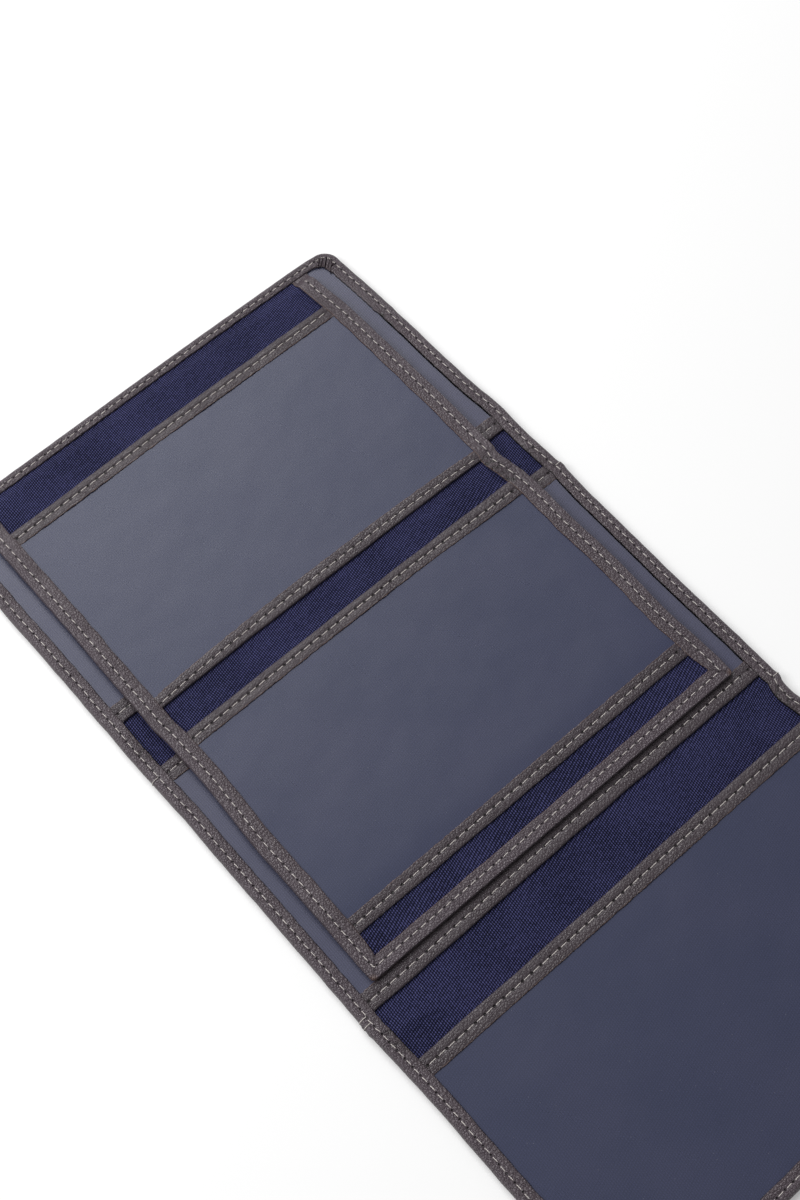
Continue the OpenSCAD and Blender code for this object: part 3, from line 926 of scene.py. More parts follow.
def hide_grain() -> Effect:
    """Fine pebbled grain of soft hide: rounded cells with creases between them."""
    effect = Effect("Hide grain", {"Vector": None, "Cell": 0.5, "Stretch": 1.0},
                    ["Height", "Crease", "Patch"])
    g, start = effect.graph, effect.start
    bent = g.warp(start["Vector"], 0.9, 0.9)
    squeeze = g.node("ShaderNodeCombineXYZ", {0: start["Stretch"], 1: 1.0, 2: 1.0})
    shaped = g.vector("MULTIPLY", bent, squeeze.outputs[0])
    scale = g.math("DIVIDE", 1.0, start["Cell"])
    cells = g.node("ShaderNodeTexVoronoi", {"Vector": shaped, "Scale": scale},
                   feature="DISTANCE_TO_EDGE", voronoi_dimensions="2D")
    domes = g.node("ShaderNodeTexVoronoi", {"Vector": shaped, "Scale": scale},
                   feature="F1", voronoi_dimensions="2D")
    crease = g.between(cells.outputs["Distance"], 0.0, 0.16, 1.0, 0.0)
    dome = g.between(domes.outputs["Distance"], 0.0, 0.75, 1.0, 0.0)
    fine = g.noise(start["Vector"], 6.5, 3.0, 0.6)
    height = g.math("MULTIPLY_ADD", dome, 0.65, g.math("MULTIPLY", fine, 0.55))
    height = g.math("SUBTRACT", height, g.math("MULTIPLY", crease, 0.55))
    broad = g.noise(start["Vector"], 0.9, 3.0, 0.6)
    fullness = g.between(g.noise(start["Vector"], 0.11, 2.0), 0.3, 0.7, 0.75, 1.15)
    height = g.math("MULTIPLY", height, fullness)
    height = g.math("MULTIPLY_ADD", broad, 0.7, height)
    g.feed(effect.finish["Height"], height)
    g.feed(effect.finish["Crease"], crease)
    g.feed(effect.finish["Patch"], g.noise(start["Vector"], 0.07, 3.0, 0.55))
    return effect


def needle_holes() -> Effect:
    """Needle holes and the pulled-in line of a seam, from its own map."""
    effect = Effect("Needle holes", {"Vector": None, "Pitch": 2.5, "Radius": 0.2},
                    ["Hole", "Pull"])
    g, start = effect.graph, effect.start
    parts = g.node("ShaderNodeSeparateXYZ", {0: start["Vector"]})
    along = g.math("ABSOLUTE", g.math("SUBTRACT", g.math("FRACT", parts.outputs[0]), 0.5))
    along = g.math("MULTIPLY", along, start["Pitch"])
    away = g.math("ABSOLUTE", parts.outputs[1])
    distance = g.math("SQRT", g.math("ADD", g.math("MULTIPLY", along, along),
                                     g.math("MULTIPLY", away, away)))
    edge = g.math("DIVIDE", distance, start["Radius"])
    g.feed(effect.finish["Hole"], g.between(edge, 0.55, 1.5, 1.0, 0.0))
    g.feed(effect.finish["Pull"], g.between(away, 0.1, 0.75, 1.0, 0.0))
    return effect


def twill_weave() -> Effect:
    """Fine twill: upright ribs whose floats step a quarter further with each rib."""
    effect = Effect("Twill weave", {"Vector": None, "Rib": 0.541, "Float": 0.667},
                    ["Height", "Gap", "Top", "Slub"])
    g, start = effect.graph, effect.start
    parts = g.node("ShaderNodeSeparateXYZ", {0: g.warp(start["Vector"], 0.25, 0.35)})
    u = g.math("DIVIDE", parts.outputs[0], start["Rib"])
    v = g.math("SUBTRACT", g.math("DIVIDE", parts.outputs[1], start["Float"]),
               g.math("MULTIPLY", u, 0.254))
    rib = g.math("SINE", g.math("MULTIPLY", g.math("FRACT", u), math.pi))
    wave = g.math("MULTIPLY_ADD", g.math("COSINE", g.math("MULTIPLY", v, 2.0 * math.pi)), 0.5, 0.5)
    height = g.math("MULTIPLY", rib, g.math("MULTIPLY_ADD", wave, 0.55, 0.45))
    g.feed(effect.finish["Height"], height)
    uneven = g.between(g.noise(start["Vector"], 1.1, 2.0), 0.35, 0.65, 0.85, 1.12)
    height = g.math("MULTIPLY", height, uneven)
    g.feed(effect.finish["Gap"], g.between(height, 0.15, 0.70, 1.0, 0.0))
    g.feed(effect.finish["Top"], g.between(height, 0.5, 0.95))
    stretched = g.vector("MULTIPLY", start["Vector"], (1.0, 0.12, 1.0))
    g.feed(effect.finish["Slub"], g.noise(stretched, 1.6, 2.0, 0.6))
    return effect


def dust_specks() -> Effect:
    """Sparse specks of pale dust."""
    effect = Effect("Dust specks", {"Vector": None, "Spacing": 4.0, "Size": 0.12}, ["Speck"])
    g, start = effect.graph, effect.start
    cells = g.node("ShaderNodeTexVoronoi", {
        "Vector": start["Vector"], "Scale": g.math("DIVIDE", 1.0, start["Spacing"]),
        "Randomness": 1.0}, feature="F1", voronoi_dimensions="2D")
    reach = g.math("MULTIPLY", cells.outputs["Distance"], start["Spacing"])
    few = g.between(g.noise(start["Vector"], 0.15, 1.0), 0.55, 0.62)
    near = g.between(g.math("DIVIDE", reach, start["Size"]), 0.5, 1.2, 1.0, 0.0)
    g.feed(effect.finish["Speck"], g.math("MULTIPLY", near, few))
    return effect


@dataclass
class Effects:
    """The shared effects, built once."""

    grain: Effect
    holes: Effect
    weave: Effect
    dust: Effect

    @classmethod
    def build(cls) -> "Effects":
        """Builds every shared effect."""
        return cls(hide_grain(), needle_holes(), twill_weave(), dust_specks())


def empty_graph(owner: bpy.types.Material | bpy.types.World) -> Graph:
    """The emptied shader graph of a material or world."""
    owner.use_nodes = True
    owner.node_tree.nodes.clear()
    return Graph(owner.node_tree)


def new_material(name: str) -> tuple[bpy.types.Material, Graph, bpy.types.Node]:
    """An empty material with its graph and its Principled shader."""
    material = bpy.data.materials.new(name)
    graph = empty_graph(material)
    shader = graph.node("ShaderNodeBsdfPrincipled")
    out = graph.node("ShaderNodeOutputMaterial")
    graph.feed(out.inputs["Surface"], shader.outputs[0])
    return material, graph, shader


@dataclass(frozen=True)
class LeatherFinish:
    """Taupe hide with fine grain, needle holes and a slightly lighter rim."""

    name: str = "taupe hide"
    colour: Colour = (0.086, 0.064, 0.079, 1.0)
    dark: Colour = (0.052, 0.038, 0.046, 1.0)
    raw: Colour = (0.135, 0.078, 0.058, 1.0)
    hole_and_painted_shade: Colour = (0.006, 0.004, 0.004, 1.0)
    cell: float = 0.60
    pitch: float = STITCH_PITCH
    hole_radius: float = 0.20
    roughness: float = 0.43
    specular: float = 0.68
    inner: Colour = (0.074, 0.053, 0.064, 1.0)
    relief: float = 0.00015

    def build(self, effects: Effects) -> bpy.types.Material:
        """Builds the material."""
        material, g, shader = new_material(self.name)
        hide = g.uv("Hide")
        seam = g.uv("Seam")
        raw = g.mark("Raw")
        grain = effects.grain.place(g, Vector=hide, Cell=self.cell, Stretch=0.8).outputs
        holes = effects.holes.place(g, Vector=seam, Pitch=self.pitch,
                                    Radius=self.hole_radius).outputs
        tone = g.between(grain["Patch"], 0.35, 0.65)
        away = g.node("ShaderNodeSeparateXYZ", {0: seam}).outputs[1]
        inside = g.math("MULTIPLY", g.between(away, 0.2, 2.0), g.between(away, 8.0, 12.0, 1.0, 0.0))
        light = g.mix(inside, self.colour, self.inner)
        colour = g.mix(g.math("MULTIPLY_ADD", tone, 0.22, 0.72), self.dark, light)
        colour = g.mix(g.math("MULTIPLY", grain["Crease"], 0.45), colour, self.dark)
        fleck = g.between(g.noise(hide, 2.2, 3.0, 0.7), 0.45, 0.75)
        colour = g.mix(g.math("MULTIPLY", fleck, 0.35), colour, self.colour)
        # painted shade: the Shade mark darkens pleats, puckers, creases, gaps and inner walls toward
        # the near-black of the needle holes
        shade = g.mark("Shade")
        colour = g.mix(g.math("MULTIPLY", shade, 0.92), colour, self.hole_and_painted_shade)
        colour = g.mix(g.math("MULTIPLY", raw, 0.65), colour, self.raw)
        colour = g.mix(g.math("MULTIPLY", holes["Pull"], 0.25), colour, self.dark)
        colour = g.mix(holes["Hole"], colour, self.hole_and_painted_shade)
        height = g.math("SUBTRACT", grain["Height"], g.math("MULTIPLY", holes["Hole"], 2.0))
        rough = g.between(grain["Height"], 0.2, 0.9, self.roughness + 0.14,
                          self.roughness - 0.06)
        g.fill(shader.inputs, {"Base Color": colour, "Roughness": rough,
                               "Normal": g.bump(height, 1.0, self.relief),
                               "Specular IOR Level": self.specular})
        return material


@dataclass(frozen=True)
class ClothFinish:
    """Navy twill lining."""

    name: str = "navy lining"
    colour: Colour = (0.012, 0.014, 0.052, 1.0)
    light: Colour = (0.068, 0.070, 0.190, 1.0)
    dark: Colour = (0.001, 0.001, 0.006, 1.0)
    deep: Colour = (0.001, 0.001, 0.002, 1.0)
    rib: float = 0.541
    float_length: float = 0.667

    def build(self, effects: Effects) -> bpy.types.Material:
        """Builds the material."""
        material, g, shader = new_material(self.name)
        hide = g.uv("Hide")
        weave = effects.weave.place(g, Vector=hide, Rib=self.rib,
                                    Float=self.float_length).outputs
        dust = effects.dust.place(g, Vector=hide, Spacing=5.0, Size=0.10).outputs
        cloud = g.between(g.noise(hide, 0.06, 3.0), 0.35, 0.65)
        base = g.mix(g.math("MULTIPLY", cloud, 0.35), self.colour, self.light)
        # painted highlight: the twill's thread tops are painted lighter; its gaps are painted near
        # black
        colour = g.mix(weave["Top"], base, self.light)
        colour = g.mix(g.between(weave["Slub"], 0.55, 0.8, 0.0, 0.3), colour, self.light)
        colour = g.mix(weave["Gap"], colour, self.dark)
        colour = g.mix(g.math("MULTIPLY", dust["Speck"], 0.2), colour, (0.5, 0.5, 0.55, 1.0))
        # painted shade: where the Shade mark is set, the lining is painted near black
        shade = g.mark("Shade")
        colour = g.mix(shade, colour, self.deep)
        g.fill(shader.inputs, {
            "Base Color": colour,
            "Roughness": g.between(weave["Height"], 0.0, 1.0, 0.9, 0.62),
            "Normal": g.bump(weave["Height"], 0.7, 0.00014),
            "Specular IOR Level": 0.15, "Sheen Weight": 0.05, "Sheen Roughness": 0.4})
        return material


@dataclass(frozen=True)
class FilmFinish:
    """Soft frosted clear film that veils the lining under it."""

    name: str = "frosted film"
    colour: Colour = (0.048, 0.058, 0.122, 1.0)
    pale: Colour = (0.056, 0.064, 0.128, 1.0)
    # painted light: paler film colour used on the far and middle panels
    lifted: Colour = (0.114, 0.116, 0.186, 1.0)
    veiled: Colour = (0.030, 0.032, 0.075, 1.0)
    alpha: float = 0.64
    roughness: float = 0.42

    def build(self, effects: Effects) -> bpy.types.Material:
        """Builds the material."""
        material, g, shader = new_material(self.name)
        hide = g.uv("Hide")
        dust = effects.dust.place(g, Vector=hide, Spacing=5.0, Size=0.09).outputs
        cloud = g.between(g.noise(hide, 0.03, 2.0), 0.3, 0.7)
        colour = g.mix(cloud, self.colour, self.pale)
        # painted light: where the Shade mark is set, the film is painted paler and lets more of the
        # weave show
        painted_light = g.mark("Shade")
        colour = g.mix(painted_light, colour, self.lifted)
        gap = effects.weave.place(g, Vector=hide).outputs["Gap"]
        colour = g.mix(g.math("MULTIPLY", gap, g.math("MULTIPLY_ADD", painted_light, 0.34, 0.04)),
                       colour, self.veiled)
        colour = g.mix(g.math("MULTIPLY", dust["Speck"], 0.22), colour, (0.6, 0.6, 0.62, 1.0))
        haze = g.noise(hide, 3.2, 2.0, 0.6)
        slow = g.noise(hide, 0.05, 2.0, 0.5)
        height = g.math("MULTIPLY_ADD", slow, 6.0, g.math("MULTIPLY", haze, 0.25))
        rough = g.between(haze, 0.3, 0.7, self.roughness, self.roughness + 0.08)
        g.fill(shader.inputs, {"Base Color": colour, "Roughness": rough,
                               "Normal": g.bump(height, 0.25, 0.0002),
                               "Alpha": self.alpha, "Specular IOR Level": 0.75})
        return material


@dataclass(frozen=True)
class ThreadFinish:
    """Light grey twisted sewing thread."""

    name: str = "grey thread"
    colour: Colour = (0.74, 0.69, 0.66, 1.0)
    dark: Colour = (0.30, 0.27, 0.25, 1.0)
    lay: float = 0.5

    def build(self, effects: Effects) -> bpy.types.Material:
        """Builds the material."""
        material, g, shader = new_material(self.name)
        hide = g.uv("Hide")
        parts = g.node("ShaderNodeSeparateXYZ", {0: hide})
        twist = g.math("ADD", parts.outputs[0], parts.outputs[1])
        strand = g.math("ABSOLUTE", g.math("SINE", g.math("MULTIPLY", twist,
                                                          math.pi / self.lay)))
        colour = g.mix(g.between(strand, 0.0, 0.6), self.dark, self.colour)
        fuzz = g.between(g.noise(hide, 1.3, 2.0), 0.3, 0.7)
        colour = g.mix(g.math("MULTIPLY", fuzz, 0.25), colour, self.dark)
        g.fill(shader.inputs, {"Base Color": colour, "Roughness": 0.7,
                               "Normal": g.bump(strand, 0.6, 0.00006), "Sheen Weight": 0.2})
        return material


@dataclass(frozen=True)
class BoardFinish:
    """Grey-brown fibre board that stiffens the panels."""

    name: str = "fibre board"
    colour: Colour = (0.26, 0.20, 0.13, 1.0)
    dark: Colour = (0.15, 0.11, 0.07, 1.0)

    def build(self, effects: Effects) -> bpy.types.Material:
        """Builds the material."""
        material, g, shader = new_material(self.name)
        hide = g.uv("Hide")
        fibre = g.noise(hide, 1.8, 5.0, 0.7)
        g.fill(shader.inputs, {
            "Base Color": g.mix(g.between(fibre, 0.35, 0.65), self.dark, self.colour),
            "Roughness": g.between(fibre, 0.3, 0.7, 0.95, 0.8),
            "Normal": g.bump(fibre, 0.3, 0.0001)})
        return material


@dataclass
class Finishes:
    """Every material of the wallet."""

    leather: bpy.types.Material
    strip_leather: bpy.types.Material
    lining: bpy.types.Material
    film: bpy.types.Material
    thread: bpy.types.Material
    board: bpy.types.Material

    @classmethod
    def build(cls) -> "Finishes":
        """Builds every material."""
        effects = Effects.build()
        return cls(
            leather=LeatherFinish().build(effects),
            strip_leather=LeatherFinish(name="taupe hide, skived", pitch=STRIP_PITCH, hole_radius=0.29,
                                        relief=0.00010,
                                        colour=(0.054, 0.039, 0.048, 1.0),
                                        dark=(0.035, 0.025, 0.031, 1.0),
                                        inner=(0.054, 0.039, 0.048, 1.0)).build(effects),
            lining=ClothFinish().build(effects),
            film=FilmFinish().build(effects),
            thread=ThreadFinish().build(effects),
            board=BoardFinish().build(effects),
        )


def flat_grid(x: np.ndarray, y: np.ndarray, z: np.ndarray | float, settle: Settle,
              up: bool = True) -> Patch:
    """A sheet over a grid of X and Y places, moved to where it lies.

    Args:
        x: places across.
        y: places along.
        z: height at each place, rows along and columns across.
        settle: moves flat points to where they lie.
        up: whether its face looks up.

    Returns:
        The patch, with its own places as its map.
    """
    across, along = np.meshgrid(x, y)
    points = np.stack([across, along, z + 0.0 * across], axis=-1)
    return Patch(settle(points), points[..., :2].copy(), flip=not up)


class Cover:
    """The outer hide with its turned edges, boards, lining, windows and strips."""

    def __init__(self, plan: WalletPlan, lie: Lie, finishes: Finishes) -> None:
        """Lays out the cover's outline and edge."""
        self.plan, self.lie, self.finishes = plan, lie, finishes
        self.edge = TurnedEdge(low=0.0, inner_drop=0.55, roundness=1.0, stitch=2.05,
                               groove=0.16, reach=6.5)
        self.hem_lap = 100.6
        self.film_gap = 0.3
        self.tie_columns = (17, 37)
        self.ties = {"middle_far": ((1, 36.2), (-1, 35.9)),
                     "middle_near": ((1, -41.0), (-1, -38.6), (-1, -40.6))}
        self.pleat_pitch, self.gather_reach = 1.0, 6.4
        self.lining_inset, self.lining_end = 1.3, 1.2
        self.shade_inset, self.film_inset = 1.2, 1.5
        self.pucker_depth, self.face_floor = 4.6, 1.0
        self.parts = (
            Part("far", plan.far, plan.fold_1_far, Body.FAR,
                 hide=("leather_a", "side_edges_a", "top_hem"),
                 lining=("lining_a",), thread=("thread_a",)),
            Part("middle_far", plan.fold_1_far, 0.0,
                 Bend(Body.MIDDLE, Body.FAR_SPINE, plan.fold_1_near - 2.0,
                      plan.fold_1_near + 2.0),
                 hide=("leather_b", "side_edges_b", "leather_spine_1", "side_edges_spine_1"),
                 lining=("lining_b", "lining_spine_1"), thread=("thread_b", "thread_spine_1")),
            Part("middle_near", 0.0, plan.fold_2_near,
                 Bend(Body.MIDDLE, Body.NEAR_SPINE, plan.fold_2_far + 1.7,
                      plan.fold_2_far - 1.7),
                 hide=("leather_spine_2", "side_edges_spine_2"),
                 lining=("lining_spine_2",), thread=("thread_spine_2",)),
            Part("near", plan.fold_2_near, plan.near, Body.NEAR,
                 hide=("leather_c", "side_edges_c", "bottom_hem"),
                 lining=("lining_c",), thread=("thread_c",)),
        )
        self.outline = Outline(plan.half_width, plan.near, plan.far, plan.corner, 2.3,
                               [part.low for part in self.parts[:-1]], 0.6, far_end=True)
        self.rim, self.row = self._rim()

    def build(self) -> None:
        """Builds every piece of the cover."""
        self._hide()
        self._lining()
        self._boards()
        self._windows()
        self._strips()
        self._thread()

    def _rim(self) -> tuple[Patch, StitchRow]:
        """The turned edge all round, and its stitch row."""
        p, line = self.plan, self.outline
        far = np.where(line.end > 0, np.where(line.kind == Kind.END.value, 1.0,
                                              ease(line.turn / (math.pi / 2))), 0.0)
        width = p.edge_width + (p.far_hem_width - p.edge_width) * far
        width = width + 0.05 * ripple(line.x + 1.7 * line.y, 6.0, 21)
        lapped = ease((line.y - self.hem_lap) / 0.8) * (line.side > 0)
        width = width + lapped * (0.35 + 0.14 * ripple(line.y, 3.1, 22)) * (line.end == 0)
        gather, fold = self._pleats()
        width = width + (0.55 + 0.12 * fold[:, 0]) * gather[:, 0]
        top = p.edge_top + 0.6 * (p.hem_top - p.edge_top) * far
        depth, height = self.edge.section(width, top)
        x, y = line.inset(depth)
        upper = ease((height - 0.8) / 1.2)
        inner = ease((depth - 1.3) / 0.9)
        height = height + (0.28 - 0.62 * fold) * gather * upper * inner
        # The shade mark is painted shade: in corner pleats, puckers and tight creases near the folds,
        # and at the hem's lap step
        shade = 0.3 * gather * fold ** 2 * inner * upper
        near_fold = swell(y, self.lie.fold_1, 6.0) + swell(y, self.lie.fold_2, 5.0)
        pucker = pleats((y + 0.2 * depth) / 0.95) * near_fold * inner * (depth < self.pucker_depth)
        height = height - 0.28 * pucker * upper
        shade = shade + 0.75 * pucker * upper
        crease = ripple(y + 0.35 * depth, 1.9, 31) * near_fold
        height = height + 0.10 * crease * upper * (depth < self.pucker_depth)
        tight = ease((-0.25 - crease) / 0.6) * ease((depth - 1.0) / 2.0)
        shade = shade + 0.9 * tight * near_fold * upper
        height = height + 0.03 * ripple(x + y, 4.5, 32) * upper
        step = 0.22 * swell(y, self.hem_lap - 0.4, 0.7) * (line.side > 0)[:, None]
        height = height - step * upper * (depth > 2.4)
        shade = shade + 2.5 * step * ease((depth - 2.4) / 1.4) * upper
        points = self.lie.cover(np.stack([x, y, height], axis=-1))
        hide, seam, row = sew_edge(self.edge, line, points, depth, height, 1.5,
                                   p.edge_top - 0.5)
        # painted shade on the inner wall of the turned edge, left off along the far hem
        wall = ease((depth - width[:, None] + 0.32) / 0.14)
        face = height > self.face_floor
        wall = wall * ease((top[:, None] - 0.07 - height) / 0.12) * face
        shade = np.maximum(shade, 1.15 * wall * (1.0 - far[:, None]))
        raw = ease((depth - width[:, None] + 0.1) / 0.1) * face * 0.35 * (1.0 - wall)
        return Patch(points, hide, seam, raw, np.clip(shade, 0.0, 1.0)), row

    def _pleats(self) -> tuple[np.ndarray, np.ndarray]:
        """How strongly each station is gathered round a corner, and how deep in a pleat it is."""
        line = self.outline
        x, y = line.inset(np.full((len(line.x), 1), self.edge.stitch))
        run = run_along(x[:, 0], y[:, 0])
        gather, phase = np.zeros_like(run), np.zeros_like(run)
        for side in (-1, 1):
            for end in (-1, 1):
                here = (line.kind == Kind.CORNER.value) & (line.side == side) & (line.end == end)
                middle = run[here].mean()
                reach = ease(1.0 - np.abs(run - middle) / self.gather_reach)
                phase = np.where(reach > 0.0, (run - middle) / self.pleat_pitch + 0.25 * side, phase)
                gather = np.maximum(gather, ease(reach * 1.8))
        return gather[:, None], pleats(phase)[:, None]

    def _stations(self, high: float, low: float) -> list[np.ndarray]:
        """Runs of stations between two Y places."""
        line = self.outline
        side = line.kind == Kind.SIDE.value
        inside = (line.y <= high + TOUCH) & (line.y >= low - TOUCH)
        count = len(line.y)
        if low <= line.near + TOUCH or high >= line.far - TOUCH:
            chosen = np.flatnonzero(inside)
            if high >= line.far - TOUCH:
                right = chosen[chosen > count // 3]
                left = chosen[(chosen <= count // 3) & (chosen > 0)]
                return [np.concatenate([right, left])]
            return [chosen]
        left = np.flatnonzero(inside & side & (line.side < 0))
        left = left[left < count // 2]
        right = np.flatnonzero(inside & side & (line.side > 0))
        return [left, right]

    def _back(self, high: float, low: float, inset: float) -> Patch:
        """The underside inside the turned edge."""
        p = self.plan
        y = spread([min(high, p.far - inset), max(low, p.near + inset)], 1.4)
        x = spread([-p.half_width + inset, p.half_width - inset], 2.0)
        return flat_grid(x, y, BACK_LIFT, self.lie.cover)

    def _roll(self, y: float) -> Patch:
        """Rounded back of a fold, hidden in the hide's thickness while the wallet is open."""
        p, tall = self.plan, self.plan.edge_top
        ends = np.array([0.02, 0.06, 0.14, 0.22, 0.4, 0.55, 0.8])
        x = np.concatenate([ends - p.half_width, spread([1.1 - p.half_width, 0.0], 2.0)])
        x = np.concatenate([x, -x[-2::-1]])
        rounding = np.interp(p.half_width - np.abs(x), [0.0, 0.05, 0.22, 0.55, 1.1],
                             [0.42 * tall, 0.26 * tall, 0.12 * tall, 0.03 * tall, 0.0])
        turn = np.linspace(math.pi, 2.0 * math.pi, 25)
        across, angle = np.meshgrid(x, turn)
        radius = np.broadcast_to(p.lining_top - 0.05 - rounding, across.shape)
        z = p.lining_top + radius * np.sin(angle)
        points = np.stack([across, y + radius * np.cos(angle), z], axis=-1)
        hide = np.stack([across, y + radius * angle], axis=-1)
        return Patch(self.lie.cover(points), hide, flip=True)

    def _hide(self) -> None:
        """The cover leather in four pieces, cut where the folds need it."""
        p = self.plan
        for part in self.parts:
            piece = Piece(f"cover_hide_{part.name}", self.finishes.leather, Slot.LEATHER)
            for run in self._stations(part.high, part.low):
                piece.add(self.rim.rows(run))
            piece.add(self._back(part.high, part.low, self.edge.reach - BACK_OVERLAP))
            if part.name == "far":
                piece.add(self._roll(p.fold_1_far))
            if part.name == "near":
                piece.add(self._roll(p.fold_2_near))
            obj = piece.build()
            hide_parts(*part.hide)
            attach(obj, part.holder)

    def _lining(self) -> None:
        """The woven lining in four pieces."""
        p = self.plan
        half = p.half_width - self.lining_inset
        for part in self.parts:
            y = spread([min(part.high, p.far - self.lining_end),
                        max(part.low, p.near + self.lining_end)], 1.0)
            rest = p.half_width - p.edge_width - self.shade_inset
            x = np.concatenate([spread([-half, rest], 1.5), spread([rest + 0.3, half], 0.4)])
            across, along = np.meshgrid(x, y)
            slack = swell(along, self.lie.fold_2, 4.0) + 0.3 * swell(along, self.lie.fold_1, 4.0)
            rumple = 0.16 * ripple(along + 0.15 * across, 5.0, 41) \
                * ease(ripple(across, 30.0, 42) * 0.5 + 0.5)
            z = p.lining_top + rumple * slack
            piece = Piece(f"cover_lining_{part.name}", self.finishes.lining, Slot.LINING)
            sheet = flat_grid(x, y, z, self.lie.cover)
            off_fold_1 = np.abs(along - self.lie.fold_1) > 9.0
            off_fold_2 = np.abs(along - self.lie.fold_2) > 8.0
            # painted shade: the lining is painted near black beside the right band's inner edge, away
            # from the folds
            beside = ease((across - p.half_width + p.edge_width + self.shade_inset) / 0.6)
            sheet.shade[:] = beside * (off_fold_1 & off_fold_2)
            obj = piece.add(sheet).build()
            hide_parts(*part.lining)
            attach(obj, part.holder)

    def _boards(self) -> None:
        """Stiffening boards between hide and lining."""
        for name, body in (("board_a", Body.FAR), ("board_b", Body.MIDDLE),
                           ("board_c", Body.NEAR)):
            box = Extent.of(name)
            x = spread([box.low[0], box.high[0]], 6.0)
            y = spread([box.high[1], box.low[1]], 6.0)
            piece = Piece(f"stiffener_{name[-1]}", self.finishes.board, Slot.BOARD)
            obj = piece.add(flat_grid(x, y, box.low[2], self.lie.cover, up=False),
                            flat_grid(x, y, box.high[2], self.lie.cover)).build()
            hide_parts(name)
            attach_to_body(obj, body.value)

    def _windows(self) -> None:
        """Frosted film over each panel."""
        p = self.plan
        for name, body in (("window_a", Body.FAR), ("window_b", Body.MIDDLE),
                           ("window_c", Body.NEAR)):
            box = Extent.of(name)
            half = p.half_width - self.film_inset
            inner = p.half_width - p.edge_width
            y = spread([min(box.high[1], p.far - self.film_inset),
                        max(box.low[1], p.near + self.film_inset)], 2.0)
            x = spread([-half, inner - self.film_gap], 2.0)
            across, along = np.meshgrid(x, y)
            sag = 0.06 * ripple(across + 0.6 * along, 45.0, 51)
            piece = Piece(f"film_{name[-1]}", self.finishes.film, Slot.FILM)
            sheet = flat_grid(x, y, box.high[2] + sag, self.lie.cover)
            # painted light: the far and middle panels' film is painted paler, most toward the right;
            # the near panel's film is not
            sheet.shade[:] = 0.0 if body is Body.NEAR else 0.8 + 0.2 * across / half
            obj = piece.add(sheet).build()
            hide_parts(name)
            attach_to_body(obj, body.value)

    def _strips(self) -> None:
        """Folded leather strips that bind the mouths of the windows."""
        p = self.plan
        maker = BindingStrip(p.half_width - p.edge_width + STRIP_OVERLAP, p.strip_width,
                             STRIP_PITCH, STRIP_STITCH, self.finishes)
        for name, body, mouth in (("strip_a", Body.FAR, -1), ("strip_b_far", Body.MIDDLE, 1),
                                  ("strip_b_near", Body.MIDDLE, -1),
                                  ("strip_c", Body.NEAR, 1)):
            maker.bind(name, body, mouth, self.lie.cover)

    def _thread(self) -> None:
        """Stitches all round the cover, with the tied thread ends over its rim."""
        for part in self.parts:
            piece = Piece(f"cover_thread_{part.name}", self.finishes.thread, Slot.THREAD)
            top = part.high + 1.0 if part.name == "far" else part.high
            piece.add(*self.row.patches(part.low, top))
            for side, y in self.ties.get(part.name, ()):
                piece.add(TieThread(self.rim, side, y, *self.tie_columns).patch())
            obj = piece.build()
            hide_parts(*part.thread)
            attach(obj, part.holder)


